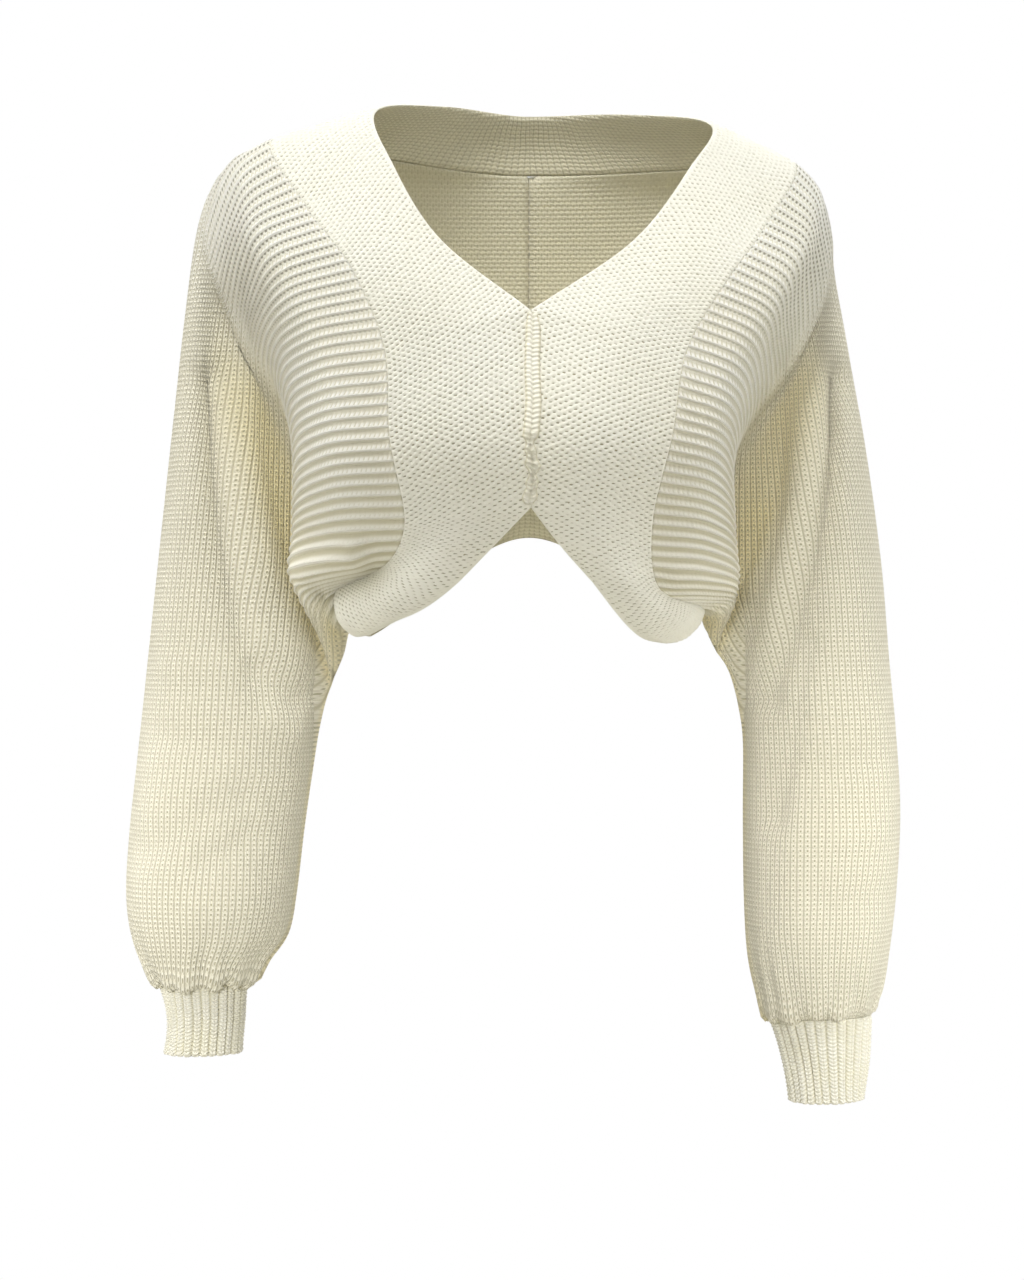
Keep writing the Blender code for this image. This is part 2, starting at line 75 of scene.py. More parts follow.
# Where four lines pass each station: the free edge of the band, its seam, the fold where the ribbed side
# front turns back towards the sleeve, and the crease behind that fold. There is no band where the two halves
# meet at the centre back, so that station has no edge.
BODY = {
    "right": {
        "shoulder": ((106, 0, 3), (177, 0, -18), (205, 0, -33), (219, 0, -52)),
        "front_neck": ((93, -45, -40), (150, -58, -72), (199, -46, -84), (216, -27, -104)),
        "front_chest": ((60, -82, -95), (120, -94, -114), (184, -60, -132), (200, -25, -148)),
        "front_join_top": ((0, -110, -145), (96, -117, -170), (168, -62, -177), (174, -16, -200)),
        "front_bust": ((0, -133, -215), (92, -124, -230), (159, -58, -230), (155, -8, -250)),
        "front_join_foot": ((0, -136, -276), (83, -118, -285), (160, -56, -283), (143, -2, -298)),
        "front_hem": ((60, -114, -335), (100, -86, -315), (161, -50, -320), (140, -3, -336)),
        "side_hem": ((105, -60, -360), (132, -44, -330), (147, -28, -350), (141, -10, -368)),
        "underarm": ((112, 10, -362), (126, 10, -346), (131, 8, -374), (134, 6, -384)),
        "back_side": ((90, 70, -345), (104, 80, -305), (130, 66, -342), (141, 50, -362)),
        "back_hem": ((45, 95, -308), (52, 106, -260), (132, 84, -300), (152, 66, -326)),
        "back_foot": ((0, 100, -290), (0, 110, -240), (136, 90, -250), (163, 72, -274)),
        "back_middle": (None, (0, 112, -135), (142, 88, -165), (178, 70, -195)),
        "back_top": ((0, 80, 11), (0, 94, -30), (152, 68, -78), (190, 58, -115)),
        "back_neck": ((60, 52, 14), (104, 58, -22), (170, 42, -44), (202, 40, -75)),
    },
    "left": {
        "shoulder": ((124, 0, -6), (181, 0, -33), (199, 0, -55), (206, 0, -80)),
        "front_neck": ((108, -42, -42), (158, -58, -84), (192, -48, -100), (202, -29, -116)),
        "front_chest": ((68, -80, -96), (130, -94, -124), (172, -64, -150), (184, -26, -165)),
        "front_join_top": ((0, -110, -145), (102, -116, -172), (151, -67, -192), (157, -16, -212)),
        "front_bust": ((0, -133, -215), (92, -125, -228), (136, -64, -238), (134, -7, -256)),
        "front_join_foot": ((0, -136, -276), (80, -120, -283), (137, -62, -286), (125, -3, -298)),
        "front_hem": ((40, -124, -327), (84, -110, -326), (140, -58, -322), (126, -6, -334)),
        "side_hem": ((80, -92, -366), (114, -64, -338), (136, -32, -342), (132, -10, -355)),
        "underarm": ((106, 6, -360), (118, 8, -338), (123, 7, -356), (126, 5, -364)),
        "back_side": ((88, 68, -345), (100, 80, -305), (122, 68, -330), (134, 52, -346)),
        "back_hem": ((45, 95, -308), (52, 106, -260), (124, 86, -294), (142, 66, -316)),
        "back_foot": ((0, 100, -290), (0, 110, -240), (130, 90, -248), (154, 72, -272)),
        "back_middle": (None, (0, 112, -135), (138, 88, -168), (168, 70, -200)),
        "back_top": ((0, 80, 11), (0, 94, -30), (150, 66, -90), (180, 56, -128)),
        "back_neck": ((68, 50, 8), (110, 56, -30), (168, 42, -62), (194, 40, -96)),
    },
}

# The rings from the crease to the cuff. Outer and inner are the two sides of the sleeve as seen from the
# front; front and back are how far the cloth stands out before and behind the line between them. Lean is
# how much of the front fullness lies towards the outer side, away from the crease, as a share.
SLEEVE = {
    "right": (
        # outer_x, outer_z, inner_x, inner_z, front, back, lean
        (229, -82, 137, -392, 18, 64, 0.8),
        (237, -140, 139, -397, 34, 66, 0.6),
        (246, -221, 141, -403, 48, 67, 0.35),
        (256, -310, 143, -412, 56, 68, 0.15),
        (265, -385, 145, -426, 60, 68, 0.0),
        (272, -440, 148, -452, 62, 67, 0.0),
        (278, -495, 154, -494, 63, 65, 0.0),
        (279, -535, 160, -535, 60, 61, 0.0),
        (275, -565, 167, -565, 53, 54, 0.0),
        (266, -588, 182, -584, 41, 43, 0.0),
        (254, -600, 196, -596, 29, 30, 0.0),
    ),
    "left": (
        (209, -110, 129, -370, 23, 62, 0.6),
        (217, -155, 132, -374, 34, 64, 0.55),
        (230, -228, 136, -380, 46, 66, 0.35),
        (241, -308, 140, -390, 54, 67, 0.15),
        (247, -375, 144, -407, 59, 67, 0.0),
        (252, -425, 147, -432, 62, 66, 0.0),
        (255, -480, 147, -482, 63, 65, 0.0),
        (252, -535, 148, -538, 61, 62, 0.0),
        (247, -578, 151, -580, 55, 56, 0.0),
        (242, -606, 158, -608, 43, 45, 0.0),
        (235, -620, 167, -622, 31, 32, 0.0),
    ),
}
CUFF = {
    "right": (
        # outer_x, outer_z, inner_x, inner_z, front, back, lean
        (253, -625, 195, -622, 30, 30, 0.0),
        (251, -647, 200, -646, 28, 28, 0.0),
    ),
    "left": (
        (234, -650, 172, -650, 31, 31, 0.0),
        (229, -678, 181, -680, 28, 28, 0.0),
    ),
}

# The largest folds: soft troughs (depth below 0) and ridges along a path down the front (-1) or the back (1)
# of a sleeve.
FOLDS = (
    # side, face, start x, z, middle x, z, end x, z, width, depth
    ("right", -1, 221, -187, 207, -300, 183, -403, 11, -7),
    ("right", -1, 262, -505, 235, -490, 196, -470, 14, -4),
    ("left", -1, 211, -185, 197, -280, 160, -402, 10, -9),
    ("left", -1, 190, -365, 178, -425, 168, -482, 9, -5),
    ("right", 1, 200, -150, 182, -270, 176, -380, 14, -8),
    ("left", 1, 186, -160, 170, -270, 166, -370, 14, -8),
    ("right", 1, 240, -450, 222, -480, 196, -500, 13, -4),
    ("left", 1, 226, -430, 205, -470, 180, -490, 13, -4),
)

# Softer and smaller creases and ridges, in the same form, which fade towards their ends.
CREASES = (
    ("right", -1, 216, -120, 209, -290, 190, -375, 19, -4),
    ("right", -1, 196, -140, 192, -255, 179, -345, 12, 5.5),
    ("right", -1, 190, -369, 168, -392, 148, -409, 10, -5),
    ("right", -1, 196, -395, 172, -418, 150, -436, 10, 3),
    ("right", -1, 240, -522, 206, -506, 176, -484, 12, -4.5),
    ("right", -1, 246, -548, 206, -545, 172, -530, 14, 2.5),
    ("right", -1, 262, -384, 220, -380, 190, -390, 10, 1.6),
    ("right", -1, 268, -424, 228, -430, 196, -438, 11, -2.2),
    ("left", -1, 204, -150, 200, -285, 172, -400, 18, -3.5),
    ("left", -1, 192, -175, 181, -262, 150, -392, 9, 6),
    ("left", -1, 176, -228, 168, -300, 144, -398, 8, -4),
    ("left", -1, 168, -395, 162, -450, 160, -505, 9, -3),
    ("left", -1, 182, -465, 178, -530, 172, -580, 11, 2.8),
    ("left", -1, 244, -436, 208, -450, 180, -452, 10, -2),
    ("left", -1, 248, -490, 212, -496, 186, -492, 12, 2),
    ("left", -1, 250, -532, 212, -540, 184, -534, 12, -2.6),
    ("right", 1, 214, -150, 204, -290, 190, -390, 16, 3.5),
    ("left", 1, 204, -150, 190, -290, 180, -390, 16, 3.5),
    ("right", 1, 262, -400, 225, -405, 190, -420, 12, -2.2),
    ("left", 1, 240, -385, 210, -390, 180, -405, 12, -2.2),
    ("right", 1, 262, -540, 225, -535, 190, -520, 12, -2.6),
    ("left", 1, 240, -560, 205, -552, 176, -540, 12, -2.6),
)

# Folds that cross the seam between a side front and its band, where the knit sags over its lower corner:
# all the knit near the path moves the same way, on both pieces.
SAGS = (
    # side, start x, z, end x, z, width, move x, y, z
    ("right", 106, -318, 140, -331, 8.5, 0, 13, 3),
    ("right", 118, -304, 152, -312, 10, 3, -5, -6),
    ("right", 100, -345, 128, -352, 11, 0, -5, 0),
    ("left", 118, -334, 142, -332, 7.5, 0, 9, 0),
    ("left", 98, -318, 138, -318, 10, 0, -4, -2),
)

# What follows is in metres.
BUST = -0.228          # the height of the chest's fullest point
LEAN_OUT = 0.006       # how much fuller the chest is there than its solids
LEAN_BACK = 0.018      # how far it is drawn back towards the hem
GATHER = 0.0012        # the depth of the gathers above the cuffs
GATHER_RING = 11.0     # the ring from which they start
DROOP = 0.0110         # how far the sleeve hangs over the top of its cuff
DROOP_RING = 13.35     # where it hangs out the most
DROOP_TURN = {"right": 1.4, "left": 2.6}        # where round the foot it hangs lowest, in radians
SLIMMED = {"right": 0.0030, "left": 0.0010}     # how far the lower sleeve lies inside its solid's outline
SLIM_RING = 9.5

SIGN = {"right": -1.0, "left": 1.0}
SEEDS = {"right": {"gathers": 11, "ribs": 5, "cuff": 31}, "left": {"gathers": 23, "ribs": 6, "cuff": 47}}
BAND_BULGE, PANEL_BULGE = 3, 4                  # columns of the stations' table
COUNT = len(STATIONS)
UNDERARM = NAMES.index("underarm")
BAND_START = NAMES.index("back_top")
BAND_END = NAMES.index("back_foot")
BAND_ORDER = [(BAND_START + k) % COUNT for k in range((BAND_END - BAND_START) % COUNT + 1)]
# Places along the band: both ends of the centre front join, the shoulder line and the side.
JOIN_TOP, JOIN_FOOT, SHOULDER, SIDE = (BAND_ORDER.index(NAMES.index(name)) for name in (
    "front_join_top", "front_join_foot", "shoulder", "underarm"))
CREASE_RING = 3        # the rings: the seam, the panel's middle, the fold, the crease and the sleeve's rows
STRAIGHT_RING = 9      # from here the ribs run straight down
LAST_RING = 14
PANEL_AXIS = 0.06      # the panel and the band bulge away from upright lines this far from the middle
BAND_AXIS = 0.03
SEAM_GAP = 0.00006     # between two shells that meet
PINCH = 0.6            # the share by which the knit is thinner where it comes together at the underarm
PINCH_REACH = 0.030    # and how far round that
OUT = 0.0011           # from the middle of the knit to the mean height of its right side
IN = 0.0013            # and to its wrong side

WALES_FRONT, WALES_BACK = 52, 34
WALES = WALES_FRONT + WALES_BACK
WALE_TURN = 7.0        # how many wales the sleeve's pattern is turned round towards the inner side
# The columns of mesh across one wale, and how high the knit stands at each, from its groove to its crown.
WALE_PLACES = (0.0, 0.13, 0.31, 0.5, 0.69, 0.87)
RIB_HEIGHTS = (0.50, 0.10, 0.0, 0.16, 0.46, 1.0)
SPLIT_DEPTHS = (0, 0, 0.3, 1, 0.5, 0)           # the groove that splits a wide wale of the back in two
RIB_RELIEF = 0.0016
STITCH = 0.0033        # the height of one stitch of the sleeve and the ribs
SLEEVE_WALES = 80      # all round the sleeve
ROW_STEP = 0.0042      # between rows of mesh down a half, and the first of them beside the seam
FIRST_ROW_STEP = 0.0014
CUFF_RIBS = 28
CUFF_BUMPS = (0.0, 0.38, 0.78, 0.97, 0.95, 0.86, 0.95, 0.97, 0.78, 0.38)     # the heights across one rib
CUFF_STITCH = 0.0026
CUFF_RELIEF = 0.0026
CUFF_WANDER = 0.0007   # how unevenly the cuff is drawn in all over
CUFF_WAIST, CUFF_WAIST_UNEVEN = 0.0034, 0.0016  # how far at its waist, and how unevenly there
CUFF_SCALLOP = 0.0009  # how far its ribs reach below its foot
MOSS_ACROSS = 0.00340  # the moss stitch: one column of bumps, and one bump along it
MOSS_ALONG = 0.00415
MOSS_LINES = 3         # mesh lines to a column
MOSS_ROWS = 6          # mesh rows to a bump
MOSS_RELIEF = 0.0014
MOSS_SEED = 61
SELVEDGE = 0.0024      # the plain border at the band's free edge
BAND_EDGE = 0.0016     # the radius of that edge
ROLL_REACH = 0.0050    # how far from it the band rolls in, and by how much: beside the middle, at the sides
ROLL_FLAT, ROLL_SIDE, ROLL_BACK = 0.0002, 0.0060, 0.0030                        # and along the back's hem
STRIP_LINES = 13       # mesh lines across the strip
STRIP_BUNCHED = 0.62   # how far down it is neat, before it is bunched into the join
STRIP_HALF = 0.0054    # half its width, how much narrower it gets and how unevenly
STRIP_NARROWED, STRIP_UNEVEN = 0.0014, 0.0012
STRIP_SEED = 71


# ---------------------------------------------------------------- curves and surfaces

def read_at(places, known, values):
    """Rows of values, known at some places along a line, at other places on it."""
    return np.stack([np.interp(places, known, column) for column in values.T], axis=-1)


def unit(vectors):
    return vectors / np.maximum(np.linalg.norm(vectors, axis=-1)[..., None], 1e-12)


def smooth(value):
    value = np.clip(value, 0, 1)
    return value * value * (3 - 2 * value)


def hump(value):
    return np.exp(-(value ** 2))


def ripple(turns):
    """1 at each whole number and 0 midway between."""
    return 0.5 + 0.5 * np.cos(2 * math.pi * turns)


def mirrored(millimetres, side):
    """A point of the tables, in metres, on its own side."""
    return np.asarray(millimetres, float) / 1000 * (SIGN[side], 1.0, 1.0)


def reflected(point):
    return point * (-1.0, 1.0, 1.0)


def travelled(points, axis=0):
    """How far each point lies along its line of points."""
    steps = np.linalg.norm(np.diff(points, axis=axis), axis=-1)
    return np.concatenate([np.zeros_like(steps.take([0], axis)), np.cumsum(steps, axis=axis)], axis=axis)


def cubic(a, b, c, d, t):
    """The point at t, from 0 to 1, between b and c on the smooth curve through four points."""
    return (b + 0.5 * t * (c - a) + t * t * (a - 2.5 * b + 2 * c - 0.5 * d)
            + t ** 3 * (1.5 * (b - c) + 0.5 * (d - a)))


def spline(points, places, before=None, after=None):
    """The smooth curve through rows of points, at any places along it: place 2.5 is midway from the third
    to the fourth. before and after are the points that it would come from and go on to."""
    points = np.asarray(points, float)
    before = 2 * points[0] - points[1] if before is None else before
    after = 2 * points[-1] - points[-2] if after is None else after
    whole = np.concatenate([[before], points, [after]])
    places = np.asarray(places, float)
    start = np.clip(np.floor(places).astype(int), 0, len(points) - 2)
    t = (places - start).reshape(places.shape + (1,) * (points.ndim - 1))
    return cubic(*(whole[start + k] for k in range(4)), t)


def body_line(side, index):
    return np.array([mirrored(BODY[side][name][index], side) for name in NAMES])


def pushed(middle, axis, side, amount):
    """The points moved away, in plan, from an upright line at that distance from the middle."""
    away = middle - np.array((axis * SIGN[side], 0.0, 0.0))
    away[..., 2] = 0
    return middle + unit(away) * amount[..., None]


def bulges(order, column):
    return np.array([STATIONS[i][column] for i in order]) / 1000


def sleeve_ring(row, side):
    outer_x, outer_z, inner_x, inner_z, front, back, lean = row
    outer = np.array((outer_x, 0.0, outer_z))
    inner = np.array((inner_x, 0.0, inner_z))
    points = []
    for name, angle, face, *rest in STATIONS:
        turn = math.radians(angle)
        point = (outer + inner) / 2 + (outer - inner) / 2 * math.cos(turn)
        depth = front * (1 + lean * math.cos(turn)) if face < 0 else back
        point[1] = face * depth * math.sin(turn)
        points.append(mirrored(point, side))
    return np.array(points)


def around(points, places):
    """A closed ring through the stations, at any places round it."""
    return spline(np.concatenate([points, points[:1]]), np.mod(places, COUNT), points[-1], points[1])


def seam_at(side, places):
    """The ring at the band's seam: a smooth arc with corners where it meets the centre back join."""
    points = body_line(side, 1)
    arc = points[BAND_ORDER]
    along = np.mod(np.asarray(places) - BAND_START, COUNT)
    on_arc = spline(arc, np.minimum(along, len(arc) - 1), reflected(arc[1]), reflected(arc[-2]))
    back = np.clip(np.mod(places, COUNT) - BAND_END, 0, BAND_START - BAND_END)
    on_back = spline(points[BAND_END:BAND_START + 1], back)
    return np.where((along <= len(arc) - 1)[..., None], on_arc, on_back)


def edge_at(side, along):
    """The band's free edge, with corners at the top and the foot of the centre front join."""
    points = np.array([mirrored(BODY[side][NAMES[i]][0], side) for i in BAND_ORDER])
    neck = spline(points[:JOIN_TOP + 1], np.clip(along, 0, JOIN_TOP), before=reflected(points[1]))
    join = spline(points[JOIN_TOP:JOIN_FOOT + 1], np.clip(along, JOIN_TOP, JOIN_FOOT) - JOIN_TOP)
    lower = np.clip(along, JOIN_FOOT, len(points) - 1) - JOIN_FOOT
    hem = spline(points[JOIN_FOOT:], lower, after=reflected(points[-2]))
    along = np.asarray(along)[..., None]
    return np.where(along < JOIN_TOP, neck, np.where(along < JOIN_FOOT, join, hem))


def ring_functions(side):
    """The rings from the band's seam to the cuff, each a function of the places round it."""
    seam, fold, crease = (body_line(side, index) for index in (1, 2, 3))
    panel = pushed((seam + fold) / 2, PANEL_AXIS, side, bulges(range(COUNT), PANEL_BULGE))
    rings = [panel, fold, crease, *(sleeve_ring(row, side) for row in SLEEVE[side])]
    return [partial(seam_at, side), *(partial(around, ring) for ring in rings)]


def on_rings(rings, s, places):
    """One row of the surface: place s from ring to ring, and the places round the rings."""
    last = len(rings) - 1
    start = min(int(s), last - 1)
    b, c = rings[start](places), rings[start + 1](places)
    a = rings[start - 1](places) if start > 0 else 2 * b - c
    d = rings[start + 2](places) if start + 2 <= last else 2 * c - b
    return cubic(a, b, c, d, s - start)


def normals_of(grid, closed, sign):
    """Unit normals of a grid of points, facing out of the garment."""
    along = np.gradient(grid, axis=0)
    if closed:
        about = (np.roll(grid, -1, axis=1) - np.roll(grid, 1, axis=1)) / 2
    else:
        about = np.gradient(grid, axis=1)
    return unit(np.cross(along, about) * -sign)


def flat_on_middle(normals, points):
    """The normals, turned straight forwards or back where the two halves of the garment meet."""
    normals[np.abs(points[..., 0]) < 1e-6, 0] = 0
    return unit(normals)


def noise_along(places, seed, waves):
    """A smooth uneven line: a sum of waves with set phases, between about -1 and 1."""
    rng = np.random.default_rng(seed)
    total = np.zeros(np.shape(places))
    for wave_number in waves:
        total = total + np.sin(np.asarray(places) * wave_number + rng.uniform(0, 2 * math.pi))
    return total / len(waves) ** 0.5


# ---------------------------------------------------------------- folds

def distance_to_path(points, path):
    """How far each point lies from a path of straight stretches, as seen from the front, and how far along
    it, from 0 to 1."""
    nearest = np.full(points.shape[:-1], np.inf)
    place_on = np.zeros(points.shape[:-1])
    for k, (start, end) in enumerate(zip(path[:-1], path[1:])):
        run = end - start
        place = np.clip((points - start) @ run / (run @ run), 0, 1)
        gap = np.linalg.norm(points - start - place[..., None] * run, axis=-1)
        closer = gap < nearest
        nearest = np.where(closer, gap, nearest)
        place_on = np.where(closer, (k + place) / (len(path) - 1), place_on)
    return nearest, place_on


def seen_from_front(points, side):
    return np.stack([points[..., 0] * SIGN[side], points[..., 2]], axis=-1)


def fold_shift(grid, normals, side, folds, taper=0.0):
    """How far the folds push each point of the grid along its normal."""
    shift = np.zeros(grid.shape[:2])
    seen = seen_from_front(grid, side)
    for fold_side, face, *row in folds:
        if fold_side != side:
            continue
        *places, width, depth = np.array(row) / 1000
        gap, place = distance_to_path(seen, spline(np.reshape(places, (3, 2)), np.linspace(0, 2, 9)))
        facing = np.clip(normals[..., 1] * face * 2, 0, 1)
        fade = smooth(np.minimum(place, 1 - place) / taper + 0.15) if taper else 1.0
        shift += depth * facing * fade * hump(gap / width)
    return shift


def sagged(points, side):
    """The points moved by the folds that cross the band's seam, and by the chest's lean: a little fuller at
    the bust, and drawn back towards the hem. It moves points by their place alone, so seams stay closed."""
    points = points.copy()
    chest = smooth((-0.03 - points[..., 1]) / 0.05)
    below = BUST - points[..., 2]
    points[..., 1] += chest * (LEAN_BACK * smooth(below / 0.095) - LEAN_OUT * hump(below / 0.062))
    for sag_side, *row in SAGS:
        if sag_side != side:
            continue
        path, width = np.array(row[:4]).reshape(2, 2) / 1000, row[4] / 1000
        gap, _ = distance_to_path(seen_from_front(points, side), path)
        amount = hump(gap / width) * smooth((0.005 - points[..., 1]) / 0.03)
        points += amount[..., None] * mirrored(row[5:], side)
    return points


def pinch(grid, side):
    """How thick the knit is, as a share: it is thinner where it comes together at the underarm."""
    under = mirrored(BODY[side]["underarm"][3], side)
    return 1 - PINCH * hump(np.linalg.norm(grid - under, axis=-1) / PINCH_REACH)


# ---------------------------------------------------------------- meshes

FIRST_ROW, LAST_ROW, FIRST_COLUMN = (0, 1), (-1, -2), (np.s_[:, 0], np.s_[:, 1])


def drawn_in(grid, *edges):
    """The grid with those edges moved in, towards the line beside each, by half a seam's gap."""
    grid = grid.copy()
    for edge, beside in edges:
        grid[edge] += unit(grid[beside] - grid[edge]) * SEAM_GAP / 2
    return grid


def keep_off_middle(points, side):
    points[..., 0] = SIGN[side] * np.maximum(points[..., 0] * SIGN[side], SEAM_GAP / 2)
    return points


def rounded(distance, radius):
    """The height of a rounded edge, from 0 at the edge to 1 at the radius."""
    return np.sqrt(np.clip(1 - (1 - np.minimum(1, distance / radius)) ** 2, 0, 1))


def wide(values):
    """The grid with its first column again at its end, so that its faces go all round."""
    return np.concatenate([values, values[:, :1]], axis=1)


def coarse(count, step):
    """Every so many of the rows of a grid, with the last one."""
    return np.unique(np.append(np.arange(0, count, step), count - 1))


def corners_of(left, right):
    """The pattern's coordinates at the corners of each face, from those on its left and on its right."""
    corners = (left[:-1], right[:-1], right[1:], left[1:])
    return np.stack([c.reshape(-1, c.shape[-1]) for c in corners], axis=1)


def plain(u, v):
    both = np.stack([u, v] * 2, axis=-1)
    return corners_of(both[:, :-1], both[:, 1:])


def linked(name, data):
    made = bpy.data.objects.new(name, data)
    bpy.context.scene.collection.objects.link(made)
    return made


class Shell:
    """The points and faces of one closed shell, with the coordinates of two patterns at each corner."""

    # One mark is painted shade: how far the colour turns warmer in shade, and to a painted yellowish glow in
    # the crease.
    MARKS = {"pile": 1.0, "rib": 0.0, "eyelet": 0.0, "painted_warm": 0.0, "split": 0.0}

    def __init__(self):
        self.points, self.faces, self.coords, self.slots = [], [], [], []
        self.marks = {name: [] for name in self.MARKS}
        self.count = 0

    def add(self, points, **marks):
        """Adds points and returns their numbers in the same arrangement. The marks are values from 0 to 1
        that the finish reads: how high the knit stands there, how ribbed and how open it is."""
        shape = points.shape[:-1]
        numbers = np.arange(self.count, self.count + math.prod(shape)).reshape(shape)
        self.points.append(points.reshape(-1, 3))
        for name, usual in self.MARKS.items():
            self.marks[name].append(np.broadcast_to(marks.get(name, usual), shape).reshape(-1))
        self.count += numbers.size
        return numbers

    def quads(self, numbers, coords, turn, slot):
        """Faces over a grid of point numbers: a triangle where two corners are the same point."""
        corners = [numbers[:-1, :-1], numbers[:-1, 1:], numbers[1:, 1:], numbers[1:, :-1]]
        corners = np.stack([c.reshape(-1) for c in corners], axis=1)
        if turn:
            corners, coords = corners[:, ::-1], coords[:, ::-1]
        same = corners == np.roll(corners, -1, axis=1)
        for size in (4, 3):
            chosen = same.sum(axis=1) == 4 - size
            keep = ~same[chosen]
            self.faces.append(corners[chosen][keep].reshape(-1, size))
            self.coords.append(coords[chosen][keep].reshape(-1, size, 4))
            self.slots.append(np.full(len(keep), slot))

    def bridge(self, first, second, turn, slot, coords=(0.5, 0.0)):
        """Triangles between two rows of points that run side by side."""
        points = np.concatenate(self.points)
        a, b = (travelled(points[row]) for row in (first, second))
        a, b = a / max(a[-1], 1e-12), b / max(b[-1], 1e-12)
        i = j = 0
        made = []
        while i < len(first) - 1 or j < len(second) - 1:
            if j == len(second) - 1 or (i < len(first) - 1 and a[i + 1] <= b[j + 1]):
                made.append((first[i], first[i + 1], second[j]))
                i += 1
            else:
                made.append((first[i], second[j + 1], second[j]))
                j += 1
        made = np.array([corners for corners in made if len(set(corners)) == 3])
        if turn:
            made = made[:, ::-1]
        self.faces.append(made)
        self.coords.append(np.broadcast_to(np.tile(coords, 2), made.shape + (4,)))
        self.slots.append(np.full(len(made), slot))

    def tube(self, skin, inner, u, v, every, turn, foot_slot):
        """The lining of a tube, with only some of the rows and columns of its skin, and both its ends."""
        rows, columns = coarse(len(inner), every[0]), np.arange(0, inner.shape[1], every[1])
        lining = wide(self.add(inner[np.ix_(rows, columns)]))
        v = wide(v[np.ix_(rows, columns)])
        self.quads(lining, plain(np.broadcast_to(u[np.append(columns, -1)], v.shape), v), not turn, 1)
        self.bridge(skin[0], lining[0], not turn, 1)
        self.bridge(skin[-1], lining[-1], turn, foot_slot)

    def object(self, name, finishes):
        data = bpy.data.meshes.new(name)
        points = np.concatenate(self.points)
        sizes = np.concatenate([np.full(len(f), f.shape[1]) for f in self.faces])
        corners = np.concatenate([f.reshape(-1) for f in self.faces])
        coords = np.concatenate([c.reshape(-1, 4) for c in self.coords])
        data.vertices.add(len(points))
        data.vertices.foreach_set("co", points.reshape(-1).astype(np.float32))
        data.loops.add(len(corners))
        data.loops.foreach_set("vertex_index", corners.astype(np.int32))
        data.polygons.add(len(sizes))
        data.polygons.foreach_set("loop_start", np.append(0, np.cumsum(sizes)[:-1]).astype(np.int32))
        data.polygons.foreach_set("material_index", np.concatenate(self.slots).astype(np.int32))
        for layer_name, columns in (("knit", coords[:, :2]), ("sleeve", coords[:, 2:])):
            layer = data.uv_layers.new(name=layer_name)
            layer.data.foreach_set("uv", columns.reshape(-1).astype(np.float32))
        for mark_name, values in self.marks.items():
            mark = data.attributes.new(mark_name, "FLOAT", "POINT")
            mark.data.foreach_set("value", np.concatenate(values).astype(np.float32))
        for finish in finishes:
            data.materials.append(finish)
        data.update(calc_edges=True)
        data.validate()
        data.shade_smooth()
        return linked(name, data)


# ---------------------------------------------------------------- the two halves

def wale_lines(rings, s_rows):
    """The number of each line of the mesh, in wales, and its place round the rings at each row. The ribs
    leave the band's seam level, droop over the fold, and run straight down the sleeve."""
    t = (np.arange(WALES)[:, None] + np.array(WALE_PLACES)).reshape(-1)
    on_front = t < WALES_FRONT
    share = np.where(on_front, t / WALES_FRONT, (t - WALES_FRONT) / WALES_BACK)
    at_seam = np.empty(len(t))
    for low, high, chosen, axes in (
            (0, UNDERARM, on_front, [0, 2]), (UNDERARM, COUNT, ~on_front, [0, 1, 2])):
        fine = np.linspace(low, high, 600)
        run = travelled(rings[0](fine)[:, axes])
        at_seam[chosen] = np.interp(share[chosen] * run[-1], run, fine)
    fine = np.linspace(0, COUNT, 1200)
    run = travelled(rings[STRAIGHT_RING](fine))
    wanted = (t + WALE_TURN) / WALES * run[-1]
    whole = np.floor(wanted / run[-1])
    at_sleeve = np.interp(wanted - whole * run[-1], run, fine) + whole * COUNT
    # How much of the way each line has turned at each ring: those by the shoulder turn evenly over the
    # top, those lower down turn beyond the crease behind the fold, and those of the back turn slowly.
    near = 1 - np.where(t > 70, smooth((WALES + 1 - t) / 12), smooth((np.abs(t - 3) - 5) / 10))
    behind = smooth((t - WALES_FRONT + 4) / 8) * (1 - near)
    turned = 0.0
    for weight, shares in (
            (near, (0, 0.10, 0.28, 0.55, 0.84, 0.93, 0.98, 1.0, 1.0)),
            (1 - near - behind, (0, 0.02, 0.10, 0.20, 0.70, 0.85, 0.95, 1.0, 1.0)),
            (behind, (0, 0.05, 0.16, 0.33, 0.58, 0.80, 0.94, 1.0, 1.0))):
        turned = turned + spline(shares, np.clip(s_rows, 0, 7))[:, None] * weight
    return t, at_seam + (at_sleeve - at_seam) * turned


def across_sleeve(rings, base):
    """How far across the sleeve each point is, seen from the front: 1 on the outer side, 0 on the inner."""
    s_fine = np.linspace(CREASE_RING, LAST_RING, 120)
    sides = []
    for place, fine in ((0.0, s_fine), (float(UNDERARM), s_fine[s_fine >= STRAIGHT_RING])):
        line = np.array([on_rings(rings, s, np.array([place]))[0] for s in fine])[::-1]
        sides.append(np.interp(base[..., 2], line[:, 2], np.abs(line[:, 0])))
    outer, inner = sides
    return (np.abs(base[..., 0]) - inner) / np.maximum(outer - inner, 0.02)


